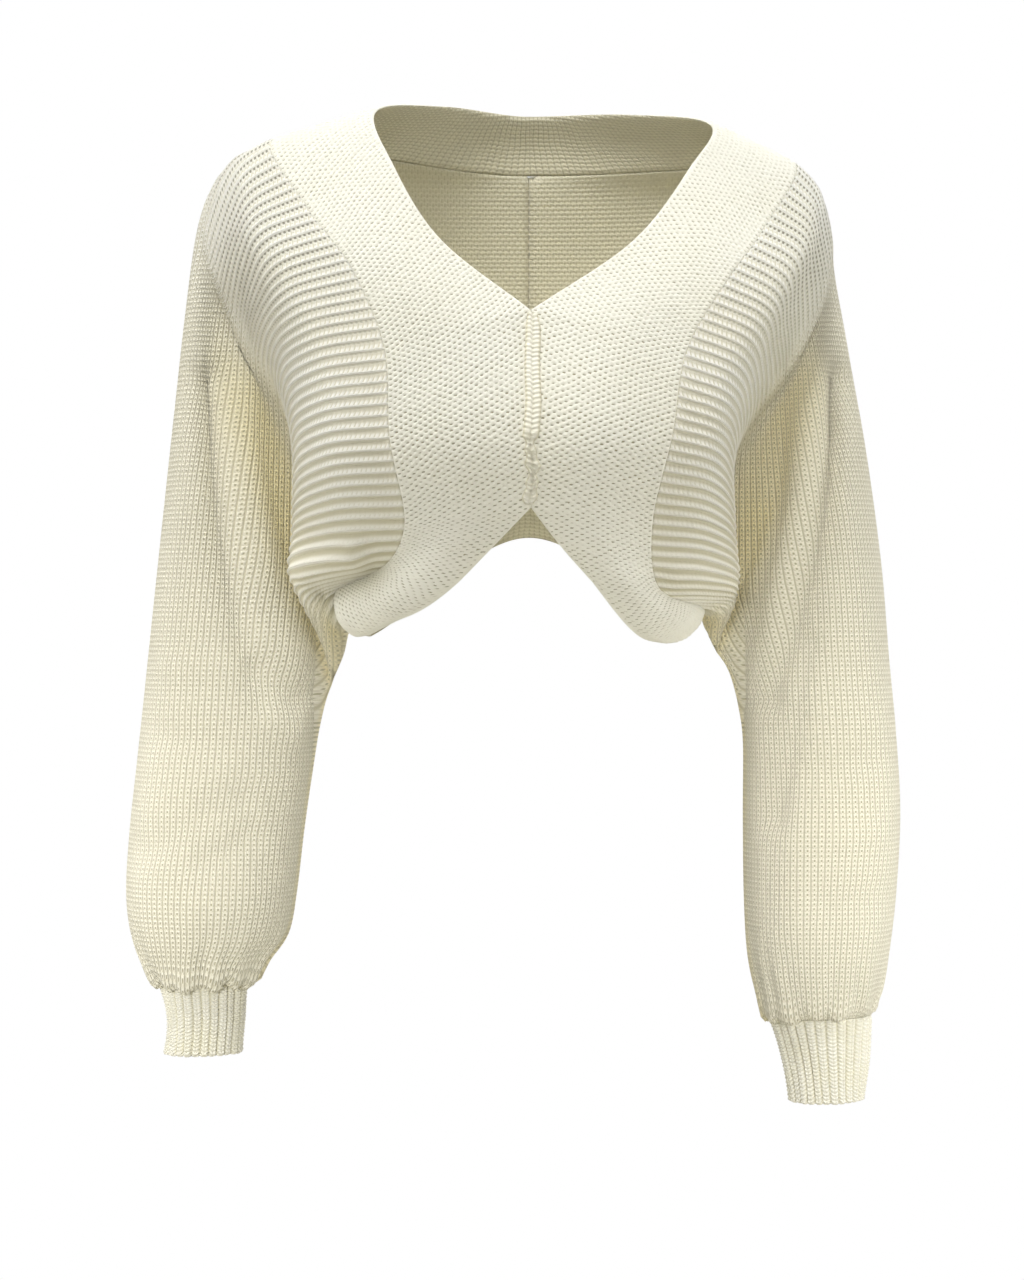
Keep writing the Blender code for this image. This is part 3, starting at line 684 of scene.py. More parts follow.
def sleeve_wales(rings, places, base):
    """The sleeve's own wale number at each point of the grid. Its wales hang straight down, spread a little
    with its outer side, and go under the fold at the crease, however the ribs come over the shoulder."""
    across = across_sleeve(rings, base)
    fine = np.linspace(0, COUNT, 1501)
    ring = rings[STRAIGHT_RING](fine)
    run = travelled(ring)
    pitch = run[-1] / SLEEVE_WALES
    x = np.abs(ring[:, 0])
    part = (x - x.min()) / np.ptp(x)
    high = smooth((base[..., 2] + 0.43) / 0.11)
    bend, reach = 0.42, 0.2            # higher up, the wales are evenly spaced inside the bend
    found = []
    for chosen in (fine <= UNDERARM, fine >= UNDERARM):
        order = np.argsort(part[chosen])
        known, number = part[chosen][order], run[chosen][order] / pitch
        low = np.interp(across, known, number)
        at_bend, beyond = np.interp((bend, bend + reach), known, number)
        straight = at_bend + (beyond - at_bend) / reach * (across - bend)
        found.append(low + (np.where(across < bend, straight, low) - low) * high)
    value = np.where(places <= UNDERARM, *found)
    # By the underarm both sides come to the same wale, and by the outer side the count is taken along it.
    at_under = (1 - smooth(np.abs(places - UNDERARM) / 1.2)) * high
    value = value + (SLEEVE_WALES / 2 - value) * at_under
    edge = np.where(places < COUNT / 2, places, places - COUNT)
    order = np.argsort(edge, axis=1)
    level = np.empty_like(value)
    for i, in_order in enumerate(order):
        steps = travelled(base[i, in_order, :2])
        level[i, in_order] = steps - np.interp(0.0, edge[i, in_order], steps)
    level = level / pitch + SLEEVE_WALES * (edge < 0)
    beside = 1 - smooth((np.abs(edge) - 0.7) / 1.3)
    return value + (level - value) * beside


def rows_along(rings):
    """The places from ring to ring of the rows of mesh."""
    places = np.linspace(0, COUNT, 60, endpoint=False)
    rows = [0.0]
    for k, (ring, following) in enumerate(zip(rings[:-1], rings[1:])):
        gap = np.linalg.norm(following(places) - ring(places), axis=1)
        steps = max(4, int(round(np.percentile(gap, 75) / ROW_STEP)))
        rows += [k + (i + 1) / steps for i in range(steps)]
    gap = np.linalg.norm(rings[1](places) - rings[0](places), axis=1).mean()
    rows.insert(1, FIRST_ROW_STEP / gap)
    return np.array(rows)


def half_surface(side, t, s_rows, lines, rings):
    """The middle of the knit, over a main half, and the same before its folds."""
    grid = np.array([on_rings(rings, s, line) for s, line in zip(s_rows, lines)])
    normals = normals_of(grid, True, SIGN[side])
    shift = fold_shift(grid, normals, side, FOLDS)
    shift += fold_shift(grid, normals, side, CREASES, taper=0.3)
    # Gathers where the sleeve is drawn in to the cuff.
    turn = t / WALES * 2 * math.pi
    folds = noise_along(turn, SEEDS[side]["gathers"], (9, 14, 19, 5))
    to_cuff = np.clip((s_rows - GATHER_RING) / (LAST_RING - GATHER_RING), 0, 1)
    shift += GATHER * (folds - 0.8) * (np.sin(to_cuff * math.pi * 0.82) ** 2)[:, None]
    shift -= SLIMMED[side] * hump((s_rows - SLIM_RING) / 2.0)[:, None]
    held = smooth((LAST_RING - s_rows) / 0.25)
    shift *= (smooth(s_rows / 1.2) * held)[:, None]
    # The foot of the sleeve hangs over the cuff, further on one side.
    hang = 0.60 + 0.40 * np.cos(turn - DROOP_TURN[side]) + 0.30 * (np.roll(folds, 40) - 0.5)
    droop = (hump((s_rows - DROOP_RING) / 0.40) * held)[:, None] * hang
    out = grid + normals * shift[..., None]
    out[..., 2] -= DROOP * droop
    return sagged(out, side), grid


def rib_height(side, t, s_rows, pitch, ribbed):
    """How high the ribs stand above the middle height of the knit, and the marks that their finish reads."""
    profile = np.tile(RIB_HEIGHTS, WALES)[None, :]
    # Where the wales of the back spread to twice their width, each carries two ribs.
    split = smooth((pitch - 0.0090) / 0.0015) * ribbed * smooth((t - WALES_FRONT - 2) / 4)
    profile = profile * (1 - 0.92 * np.tile(SPLIT_DEPTHS, WALES) * split)
    rng = np.random.default_rng(SEEDS[side]["ribs"])
    uneven = 1 + 0.10 * np.repeat(rng.standard_normal(WALES), len(WALE_PLACES))
    height = (profile - 0.45) * RIB_RELIEF * ribbed * np.clip(pitch / 0.0048, 0.35, 1.0) * uneven
    tuck = hump(s_rows / s_rows[2] * 2.2 ** 0.5)[:, None]
    height = height * (1 - tuck) - 0.0002 * tuck
    height[-1] = -0.0004
    return height, {"pile": np.clip(profile, 0, 1), "rib": ribbed, "split": split}


def painted_warmth(s, grid, under):
    """Painted shade: 0 for the lit cool white ribs, 0.5 for the shaded sleeves, up to 1 for glow in the
    crease.
    """
    level = grid[..., 2]
    painted_warm = 0.5 * np.maximum(smooth((s - 1.8) / 2.5) * smooth((0.03 - level) / 0.25),
                            0.45 * smooth((-0.16 - level) / 0.16))
    inside = hump((s - 3.9) / 1.3) * smooth((-0.12 - level) / 0.10)
    painted_warm = np.clip(painted_warm + 0.5 * inside * smooth((0.03 - grid[..., 1]) / 0.03), 0, 1)
    return np.maximum(painted_warm, under)


def half_coords(u, total, wale, base):
    """The ribs' pattern counts the wales, and stitches along the middle of each. The sleeve's counts its own
    wales, and stitches by height."""
    per = len(WALE_PLACES)
    v = np.repeat(total[:, per // 2::per], per, axis=1)
    ribs = [np.stack([np.broadcast_to(edge, v.shape), v], axis=-1) for edge in (u[:-1], u[1:])]
    step = np.roll(wale, -1, axis=1) - wale
    following = wale + np.where(step < -SLEEVE_WALES / 2, step + SLEEVE_WALES, step)
    row = -base[..., 2] / STITCH
    sleeve = [np.stack([wale, row], axis=-1), np.stack([following, np.roll(row, -1, axis=1)], axis=-1)]
    return np.concatenate([corners_of(*ribs), corners_of(*sleeve)], axis=2)


def dolman(side, finishes):
    """One main half: its wales run from the band's seam over the shoulder and down to the cuff."""
    rings = ring_functions(side)
    s_rows = rows_along(rings)
    t, lines = wale_lines(rings, s_rows)
    grid, base = half_surface(side, t, s_rows, lines, rings)
    normals = normals_of(grid, True, SIGN[side])
    normals[0] = flat_on_middle(normals[0], grid[0])

    per = len(WALE_PLACES)
    span = np.linalg.norm(np.roll(grid, -1, axis=1) - grid, axis=2)
    pitch = np.repeat(span.reshape(len(grid), -1, per).sum(axis=2), per, axis=1)
    s = s_rows[:, None]
    places = np.mod(lines, COUNT)
    by_shoulder = 1 - smooth((np.minimum(places, COUNT - places) - 0.6) / 1.6)
    ribbed = 1 - smooth((s - 2.35 + 0.35 * by_shoulder) / (0.75 + 1.2 * by_shoulder))
    under = hump((places - UNDERARM) / 1.2) * smooth((s - 0.15) / 0.8)
    height, marks = rib_height(side, t, s_rows, pitch, ribbed * (1 - under))
    marks["eyelet"] = np.clip((grid[..., 2] + 0.30) / 0.22, 0, 1)
    # Painted shade: warmer on the sleeves and low down, with a painted yellowish glow in the crease and at
    # the underarm.
    marks["painted_warm"] = painted_warmth(s, grid, under)
    thin = pinch(grid, side)
    outer, inner = (
        keep_off_middle(drawn_in(grid + normals * (lift * thin)[..., None], FIRST_ROW, LAST_ROW), side)
        for lift in (OUT + height, -IN))

    u = np.append(t, WALES)
    total = travelled(grid) / STITCH
    turn = SIGN[side] < 0
    shell = Shell()
    skin = wide(shell.add(outer, **marks))
    shell.quads(skin, half_coords(u, total, sleeve_wales(rings, places, base), base), turn, 0)
    shell.tube(skin, inner, u, total, (2, 3), turn, 1)
    return shell.object("knit_dolman_" + side, finishes)


# ---------------------------------------------------------------- the wide band

def hashed(column, number, salt):
    """A steady value from 0 to 1 for each bump of the moss stitch."""
    value = np.sin(column * 12.9898 + number * 78.233 + salt * 37.719) * 43758.5453
    return value - np.floor(value)


def wandered(a, b):
    """The same coordinates, drifting a little as hand-fed knitting does."""
    drift_a = 0.13 * noise_along(b * 0.55 + 0.8 * np.sin(a * 0.35), MOSS_SEED, (1.0, 0.43, 1.7))
    drift_b = 0.10 * noise_along(a * 0.62 + 0.9 * np.sin(b * 0.21), MOSS_SEED + 1, (1.0, 0.39, 1.9))
    return a + drift_a, b + drift_b


def moss(a, b, domed):
    """The height, from 0 to 1, of moss stitch at a columns across and b bumps along: arched bumps, each
    with a slit under it, staggered from column to column. Domed is how far each stands by itself."""
    best = np.zeros(np.shape(a))
    base = np.floor(a + 0.5)
    for step in (-1, 0, 1):
        column = base + step
        offset = 0.5 * np.mod(column, 2)
        number = np.round(b - offset)
        da = a - column - 0.06 * (hashed(column, number, 7) - 0.5)
        db = b - offset - number - 0.26 * da * da - 0.05 * (hashed(column, number, 5) - 0.5)
        size = 0.88 + 0.24 * hashed(column, number, 3)
        across = np.clip(1 - (np.abs(da) / 0.72) ** 3.0, 0, 1)
        along = np.clip(1 - (np.abs(db) / 0.44) ** 4.0, 0, 1)
        dome = np.clip(1 - (np.abs(da) / 0.70) ** 2.2 - (np.abs(db) / 0.46) ** 2.2, 0, 1) ** 0.5
        flat = across ** 0.5 * along
        best = np.maximum(best, size * (flat + (dome - flat) * domed))
    return best


def band_point(side, along, across):
    """The middle of the band: along is the place from the centre back of the neck, in BAND_ORDER, and
    across runs from 0 at the seam to 2 at the free edge."""
    edge = edge_at(side, along)
    seam = seam_at(side, along + BAND_START)
    middle = pushed((edge + seam) / 2, BAND_AXIS, side, spline(bulges(BAND_ORDER, BAND_BULGE), along))
    return spline(np.array([seam, middle, edge]), across)


def seam_normals(side):
    """Unit normals along the seam between a half and its band, shared by both, at fine places round."""
    rings = ring_functions(side)
    fine = np.linspace(0, COUNT, 901)
    half = sagged(np.array([rings[0](fine), on_rings(rings, 0.03, fine)]), side)
    main = normals_of(half, False, SIGN[side])[0]
    along = np.mod(fine - BAND_START, COUNT)
    last = len(BAND_ORDER) - 1
    surface = sagged(band_point(side, np.minimum(along, last), [0.0, 0.03]), side)
    band = unit(np.cross(surface[0] - surface[1], np.gradient(half[0], axis=0)) * -SIGN[side])
    shared = np.where((along <= last)[:, None], main + band, main)
    return fine, flat_on_middle(shared, half[0])


def band_part(side, start, end, seam_normal):
    """One stretch of the band on one side, as rows along it and lines across it, at equal steps from the
    seam and stopped at the free edge."""
    fine = np.linspace(start, end, 500)
    run = travelled(band_point(side, fine, [1.0])[0])
    count = max(2, int(round(run[-1] / (MOSS_ALONG / MOSS_ROWS))))
    places = np.interp(np.linspace(0, run[-1], count + 1), run, fine)
    across = np.linspace(0, 2, 61)
    surface = sagged(band_point(side, places, across).swapaxes(0, 1), side)      # along x across x 3
    normal = unit(np.cross(-np.gradient(surface, axis=1), np.gradient(surface, axis=0)) * -SIGN[side])
    normal[:, 0] = read_at(np.mod(places + BAND_START, COUNT), *seam_normal)
    near = np.clip(across / 0.25, 0, 1)[None, :, None]
    normal = flat_on_middle(unit(normal * near + normal[:, :1] * (1 - near)), surface)

    total = travelled(surface, axis=1)
    width = total[:, -1]
    step = MOSS_ACROSS / MOSS_LINES
    last = np.maximum(2, np.ceil(width / step - 0.45).astype(int))
    line = np.arange(last.max() + 1)[None, :]
    reach = np.where(line >= last[:, None], width[:, None], np.minimum(line * step, width[:, None]))
    both = np.concatenate([surface, normal], axis=2)
    both = np.array([read_at(*row) for row in zip(reach, total, both)])
    return {"grid": both[..., :3], "normals": unit(both[..., 3:]), "last": last, "width": width,
            "reach": reach, "arc": travelled(surface[:, len(across) // 2]), "places": places}


def backwards(part):
    out = {key: values[::-1] for key, values in part.items()}
    out["arc"] = out["arc"][0] - out["arc"]
    return out


def joined(right, left):
    """Two stretches that meet on the centre back, the right one run backwards, as one."""
    lines = max(right["grid"].shape[1], left["grid"].shape[1])

    def padded(values):
        extra = lines - values.shape[1]
        return np.concatenate([values] + [values[:, -1:]] * extra, axis=1)

    out = {}
    for key in ("grid", "normals", "last", "width", "reach"):
        pair = (right[key], left[key])
        first, second = map(padded, pair) if pair[0].ndim > 1 else pair
        out[key] = np.concatenate([first[::-1], second[1:]])
    out["arc"] = np.concatenate([-right["arc"][::-1], left["arc"][1:]])
    return out


def band_surface(part, roll, side):
    """The two faces of a stretch of the band, in moss stitch and rolled in at its free edge, with the
    stitch's coordinates and its height."""
    grid, normals, reach = (part[key] for key in ("grid", "normals", "reach"))
    from_edge = part["width"][:, None] - reach
    b = np.broadcast_to(part["arc"][:, None] / MOSS_ALONG, reach.shape)
    a, b = wandered(reach / MOSS_ACROSS - 0.5, b)
    height = moss(a, b, domed=0.15 + 0.75 * smooth((-0.22 - grid[..., 2]) / 0.09))
    selvedge = smooth((SELVEDGE - from_edge) / 0.0010)
    height = height * (1 - selvedge) + 0.62 * selvedge
    tuck = hump(reach / 0.0009)
    lift = OUT + (height - 0.6) * MOSS_RELIEF * (1 - tuck) - 0.0002 * tuck
    lift = lift * rounded(from_edge, BAND_EDGE)
    rolled = -np.reshape(roll, (-1, 1)) * hump(from_edge / ROLL_REACH)
    thin = pinch(grid, side) if side else 1.0
    depth = IN * (0.35 + 0.65 * np.minimum(1, from_edge / 0.002))
    faces = []
    for away in (lift, -depth):
        face = grid + normals * (rolled + away * thin)[..., None]
        face = drawn_in(face, FIRST_COLUMN, FIRST_ROW, LAST_ROW)
        faces.append(keep_off_middle(face, side) if side else face)
    return (*faces, a, b, height)


def band_piece(name, part, turn, finishes, roll, side=None):
    """A stretch of the wide band as a shell. One that crosses the middle has no side."""
    outer, inner, a, b, height = band_surface(part, roll, side)
    shell = Shell()
    ends = []
    for points, marks, step, lines, turned, slot in (
            (outer, {"pile": height}, 1, 1, not turn, 0), (inner, {}, MOSS_ROWS, MOSS_LINES, turn, 1)):
        rows = coarse(len(points), step)
        last = np.ceil(part["last"] / lines).astype(int)
        line = np.arange(last.max() + 1)[None, :]
        picked = rows[:, None], np.minimum(line * lines, part["last"][:, None])[rows]
        base = shell.add(points[picked], **marks)
        last = last[rows]
        numbers = base[np.arange(len(rows))[:, None], np.minimum(line, last[:, None])]
        shell.quads(numbers, plain(b[picked], a[picked]), turned, slot)
        edges = numbers[:, 0], numbers[np.arange(len(rows)), last], numbers[0], numbers[-1]
        ends.append([row[np.append(True, row[1:] != row[:-1])] for row in edges])
    for first, second, turned in zip(*ends, (not turn, turn, turn, not turn)):
        shell.bridge(first, second, turned, 0, (0.5, 0.5))
    return shell.object(name, finishes)


# ---------------------------------------------------------------- cuffs and the strip

def cuff(side, finishes):
    """One ribbed cuff, standing out from under the gathered sleeve."""
    rings = [sleeve_ring(row, side) for row in (SLEEVE[side][-1], *CUFF[side])]
    per = len(CUFF_BUMPS)
    fine = np.linspace(0, COUNT, 900)
    run = travelled(around(rings[1], fine))
    t = np.arange(CUFF_RIBS * per) / per
    columns = np.array([around(ring, np.interp(t / CUFF_RIBS * run[-1], run, fine)) for ring in rings])
    count = int(round(travelled(columns)[-1].mean() / (CUFF_STITCH / 4)))
    grid = spline(columns, np.linspace(0, 2, count + 1))
    normals = normals_of(grid, True, SIGN[side])
    down = travelled(grid).mean(axis=1)[:, None]
    from_foot = down[-1] - down
    v = down / CUFF_STITCH

    # The cuff is drawn in at its waist, unevenly.
    seed = SEEDS[side]["cuff"]
    turn = t / CUFF_RIBS * 2 * math.pi
    waist = np.sin(np.clip(down / down[-1], 0, 1) * math.pi)
    wander = CUFF_WANDER * noise_along(turn, seed, (3, 7, 13))
    wander = wander - waist * (CUFF_WAIST + CUFF_WAIST_UNEVEN * noise_along(turn, seed + 5, (1, 2, 5)))

    profile = np.tile(CUFF_BUMPS, CUFF_RIBS)
    legs = np.abs(np.tile(np.arange(per) / (per / 2) - 1, CUFF_RIBS))
    stitch = ripple(v + 0.5 * legs)
    height = profile * (0.72 + 0.28 * stitch)
    tuck = hump(down / 0.0015)
    lift = (OUT + (height - 0.55) * CUFF_RELIEF * (1 - tuck) - 0.0006 * tuck) * rounded(from_foot, 0.002)
    grid = grid + normals * wander[..., None]
    scallop = CUFF_SCALLOP * (profile - 0.6) * hump(from_foot / 0.004)
    grid = grid + unit(grid[-1] - grid[-2])[None] * scallop[..., None]
    depth = IN * (0.4 + 0.6 * np.minimum(1, from_foot / 0.003))
    outer, inner = (drawn_in(grid + normals * away[..., None], FIRST_ROW) for away in (lift, -depth))

    turned = SIGN[side] < 0
    shell = Shell()
    skin = wide(shell.add(outer, pile=np.clip(height, 0, 1)))
    u = np.append(t, CUFF_RIBS)
    shell.quads(skin, plain(np.broadcast_to(u, skin.shape), np.broadcast_to(v, skin.shape)), turned, 0)
    shell.tube(skin, inner, u, np.broadcast_to(v, inner.shape[:2]), (4, 5), turned, 0)
    return shell.object("knit_cuff_" + side, finishes)


def over_join(part, rows, away):
    """Points and normals on one band, at those distances from the join and evenly down it."""
    both = np.concatenate([part["grid"], part["normals"]], axis=2)
    chosen = np.round(np.interp(np.linspace(0, len(rows) - 1, len(away)), np.arange(len(rows)), rows))
    return np.array([read_at(part["width"][i] - abs(distance), part["reach"][i], both[i])
                     for i, distance in zip(chosen.astype(int), away)])


def strip(parts, finishes):
    """The narrow knitted strip that covers the centre front join."""
    rows = {side: np.flatnonzero((part["places"] >= JOIN_TOP + 0.03) & (part["places"] <= JOIN_FOOT - 0.05))
            for side, part in parts.items()}
    count = min(map(len, rows.values()))
    share = np.linspace(0, 1, count)
    bunched = smooth((share - STRIP_BUNCHED) / 0.06)
    uneven = STRIP_UNEVEN * noise_along(share * 40, STRIP_SEED, (1.0, 1.9))
    half = STRIP_HALF - STRIP_NARROWED * bunched + uneven * bunched
    half *= 0.72 + 0.28 * smooth(share / 0.08)
    centre = 0.0012 * smooth((0.75 - share) / 0.3) + 0.0009 * np.sin(share * 17.0) * (0.4 + bunched)
    across = np.linspace(-1, 1, STRIP_LINES)
    lines = []
    for place in across:
        away = centre + half * place
        right, left = (over_join(parts[side], rows[side], away) for side in ("right", "left"))
        lines.append(np.where((away < 0)[:, None], right, left))
    both = np.array(lines).swapaxes(0, 1)
    grid, normals = both[..., :3], unit(both[..., 3:])
    normals[..., 0] *= 0.4
    normals = unit(normals)

    v = (travelled(grid[:, STRIP_LINES // 2]) / STITCH)[:, None]
    dome = np.sqrt(np.clip(1 - np.abs(across) ** 2.4, 0, 1)) * (1 - 0.22 * hump(across / 0.2))
    stitch = ripple(v + 0.7 * np.abs(across))
    knots = hashed(np.round(across * 2.6), np.round(v * 1.9), 9)
    lumps = 0.5 + 0.5 * np.cos(2 * math.pi * v * 1.9) * np.cos(2 * math.pi * across * 2.6)
    loose = bunched[:, None]
    tangled = 0.0002 + 0.0036 * knots * (0.35 + 0.65 * lumps)
    rise = (0.0024 + 0.0004 * stitch) * (1 - loose) + tangled * loose
    base = 0.0021 - 0.0007 * loose
    outer = grid + normals * (base + rise * dome)[..., None]
    inner = grid + normals * (base - 0.0004)[..., None]

    shell = Shell()
    skin = shell.add(outer)
    u, v = np.broadcast_to((across + 1) / 2, skin.shape), np.broadcast_to(v, skin.shape)
    shell.quads(skin, plain(u, v), True, 0)
    under = np.ix_(coarse(count, 5), np.arange(0, STRIP_LINES, 2))
    lining = shell.add(inner[under])
    shell.quads(lining, plain(u[under], v[under]), False, 1)
    for first, second, turned in (
            (skin[:, 0], lining[:, 0], True), (skin[:, -1], lining[:, -1], False),
            (skin[0], lining[0], False), (skin[-1], lining[-1], True)):
        shell.bridge(first, second, turned, 0)
    return shell.object("knit_centre_front_strip", finishes)


# ---------------------------------------------------------------- finishes

class Value:
    """A number or a colour in the nodes of a finish, which takes part in plain sums."""

    def __init__(self, finish, socket):
        self.finish, self.socket = finish, socket

    def __add__(self, other):
        return self.finish.math("ADD", self, other)

    def __sub__(self, other):
        return self.finish.math("SUBTRACT", self, other)

    def __mul__(self, other):
        return self.finish.math("MULTIPLY", self, other)

    def __abs__(self):
        return self.finish.math("ABSOLUTE", self)

    def fraction(self):
        return self.finish.math("FRACT", self)

    def ramp(self, low, high):
        """0 below low and 1 above high, or the other way round, with a smooth step between."""
        inputs = {"Value": self, "From Min": min(low, high), "From Max": max(low, high),
                  "To Min": float(low > high), "To Max": float(high > low)}
        node = self.finish.node("ShaderNodeMapRange", inputs, interpolation_type="SMOOTHSTEP")
        return Value(self.finish, node.outputs["Result"])


def wave(phase):
    """The same as ripple, in the nodes."""
    return phase.finish.math("COSINE", phase * (2 * math.pi)) * 0.5 + 0.5


def most(first, *others):
    for other in others:
        first = first.finish.math("MAXIMUM", first, other)
    return first


def shaded(color, *shares):
    return tuple(c * share for c, share in zip(color, shares if len(shares) > 1 else shares * 3))


class Finish:
    """A material whose pattern is worked out from the knit's own coordinates."""

    def __init__(self, name):
        self.material = bpy.data.materials.new(name)
        self.material.use_nodes = True
        self.tree = self.material.node_tree
        self.shader = self.tree.nodes["Principled BSDF"]

    def feed(self, socket, value):
        """Gives an input of a node a Value, a plain number or a plain colour."""
        if isinstance(value, Value):
            self.tree.links.new(value.socket, socket)
        else:
            socket.default_value = (*value, 1.0) if isinstance(value, tuple) else value

    def node(self, kind, inputs, **settings):
        node = self.tree.nodes.new(kind)
        for name, value in settings.items():
            setattr(node, name, value)
        for name, value in inputs.items():
            self.feed(node.inputs[name], value)
        return node

    def math(self, operation, *values):
        node = self.node("ShaderNodeMath", dict(enumerate(values)), operation=operation)
        return Value(self, node.outputs[0])

    def apart(self, vector):
        """The x, y and z of a vector."""
        return [Value(self, part) for part in self.node("ShaderNodeSeparateXYZ", {0: vector}).outputs]

    def pattern(self, layer="knit"):
        """The pattern's coordinates: u counts the wales and v the stitches."""
        coords = Value(self, self.node("ShaderNodeUVMap", {}, uv_map=layer).outputs[0])
        u, v, _ = self.apart(coords)
        return u, v, coords

    def place(self):
        return Value(self, self.node("ShaderNodeTexCoord", {}).outputs["Object"])

    def attribute(self, name):
        return Value(self, self.node("ShaderNodeAttribute", {}, attribute_name=name).outputs["Fac"])

    def noise(self, scale, detail=2.0, place=None, dimensions="3D"):
        inputs = {"Scale": scale, "Detail": detail, "Vector": place or self.place()}
        node = self.node("ShaderNodeTexNoise", inputs, noise_dimensions=dimensions)
        return Value(self, node.outputs["Fac"])

    def mix(self, amount, first, second):
        node = self.node("ShaderNodeMix", {"Factor": amount, "A": first, "B": second}, data_type="RGBA")
        return Value(self, node.outputs["Result"])

    def bump(self, height, distance, strength, **under):
        inputs = {"Height": height, "Distance": distance, "Strength": strength, **under}
        return Value(self, self.node("ShaderNodeBump", inputs).outputs["Normal"])

    def finish(self, color, height, distance):
        """The finished material: the pattern's relief over the fine twist and fuzz of the yarn."""
        fuzz = self.bump(self.noise(900.0, 3.0), 0.00035, 0.7)
        for name, value in {
                "Base Color": color, "Normal": self.bump(height, distance, 1.0, Normal=fuzz),
                "Roughness": 0.95, "Metallic": 0.0, "Specular IOR Level": 0.15,
                "Sheen Weight": 0.25, "Sheen Roughness": 0.5}.items():
            self.feed(self.shader.inputs[name], value)
        return self.material


def sleeve_pattern(made):
    """Plain wales, each a chain of small loops: their painted shade in grooves and gaps, and how high they
    stand.
    """
    u, v, _ = made.pattern("sleeve")
    away = abs(u.fraction() - 0.5) * 2.0           # 0 on the crown of a wale, 1 in the groove beside it
    loop = wave(away * 0.34 + v)
    part = loop.ramp(0.30, 0.0) * away.ramp(0.05, 0.35)
    dot = away.ramp(0.38, 0.10) * wave(v).ramp(0.42, 0.85)
    lost = most(away.ramp(0.68, 0.97) * 0.80, dot, part * 0.46)
    return lost, away.ramp(1.0, 0.50) * (loop * 0.40 + 0.60) - dot * 0.6


def rib_pattern(made, eyelet, split):
    """Ribs, each a cord with a groove under it and then slanted strokes. Higher up, a row of eyelets lies in
    the groove. Gives the painted shade in the grooves and gaps, how high they stand and the painted shadow
    in the eyelets."""
    whole, v, _ = made.pattern()
    u = whole.fraction()
    u = ((whole * 2.0).fraction() - u) * made.math("GREATER_THAN", split, 0.5) + u     # where a wale has two
    even = wave(v)
    stroke = wave(u * -0.9 + v)
    holes, strokes = eyelet.ramp(0.45, 1.0), eyelet.ramp(-0.2, 0.5)
    under = abs(u - 0.11)
    hole = under.ramp(0.13, 0.05) * even.ramp(0.30, 0.70)
    faint = abs(u - 0.46).ramp(0.12, 0.04) * even.ramp(0.55, 0.15) * holes
    gap = stroke.ramp(0.46, 0.0) * u.ramp(0.14, 0.26) * u.ramp(0.84, 0.74) * strokes
    # Painted shade: the groove's shade is stronger lower down, where the chest turns from the light.
    groove = abs(u - (eyelet * -0.14 + 0.28)).ramp(0.44, 0.06) * (eyelet * -0.66 + 0.85)
    lost = most(gap * 0.68, faint * 0.60, groove, hole * (holes * 0.5 + 0.30))
    height = (stroke * strokes * 0.30 + 0.45 - faint * 0.30) * under.ramp(0.02, 0.18) - hole * 0.4
    cord = abs(u - 0.87).ramp(0.11, 0.03)
    return lost, most(height, cord * (stroke * 0.30 + 0.70)), hole * holes


def wale_knit(name, cool, painted_warm, painted_glow, groove_shade, eyelet_shadow):
    """The knit of the main halves, which runs from ribs into plain wales."""
    made = Finish(name)
    rib, eyelet, tone, split = (made.attribute(mark) for mark in ("rib", "eyelet", "painted_warm", "split"))
    plain_lost, plain_height = sleeve_pattern(made)
    rib_lost, rib_high, holes = rib_pattern(made, eyelet, split)
    lost = (rib_lost - plain_lost) * rib + plain_lost
    height = (rib_high - plain_height) * rib + plain_height
    # Painted shade and glow: from the cool white of the lit ribs, warmer in shade, then yellowish in the
    # crease.
    base = made.mix(tone.ramp(0.0, 0.5), cool, painted_warm)
    base = made.mix(tone.ramp(0.5, 1.0), base, painted_glow)
    base = made.mix(made.noise(14.0).ramp(0.3, 0.7) * 0.35, base, shaded(painted_warm, 0.95))
    # Painted shade in the grooves and gaps between the stitches.
    color = made.mix(lost, base, groove_shade)
    # Painted shadow in the eyelets.
    color = made.mix(holes * rib * 0.85, color, eyelet_shadow)
    return made.finish(color, height, 0.0010)


def moss_knit(name, light, dark):
    """The staggered bumps stand in the mesh; here each slit between them gets its depth of painted shade."""
    made = Finish(name)
    lost = made.attribute("pile").ramp(0.56, 0.10) * made.noise(330.0, 1.0).ramp(-0.20, 0.50)
    base = made.mix(made.noise(14.0).ramp(0.3, 0.7), light, shaded(light, 0.98, 0.975, 0.955))
    ply = made.noise(2.2, place=made.pattern()[2], dimensions="2D")
    return made.finish(made.mix(lost, base, dark), ply, 0.0003)


def purl_knit(name, light, dark, by_place=False):
    """The wrong side: fine staggered bumps, in the knit's own coordinates or by their place on the back. The
    hollows between them are darkened with painted shade.
    """
    made = Finish(name)
    if by_place:
        x, _, z = made.apart(made.place())
        # Painted shade: by place, the inside is darker low down, below the bust and in the cuffs.
        light = made.mix(z.ramp(-0.22, -0.275), light, shaded(light, 0.70))
        v = made.math("DIVIDE", z, 0.0031)
        odd_row = made.math("FLOORED_MODULO", made.math("FLOOR", v), 2.0)
        u = odd_row * 0.5 + made.math("DIVIDE", x, 0.0042)
    else:
        u, v, _ = made.pattern()
        v = v * 1.1
    off = abs(u.fraction() - 0.5)
    height = wave(off * 0.5 + v) * 0.70 + 0.15 - off.ramp(0.28, 0.5) * 0.6
    return made.finish(made.mix(height.ramp(0.55, -0.1), light, dark), height, 0.0005)


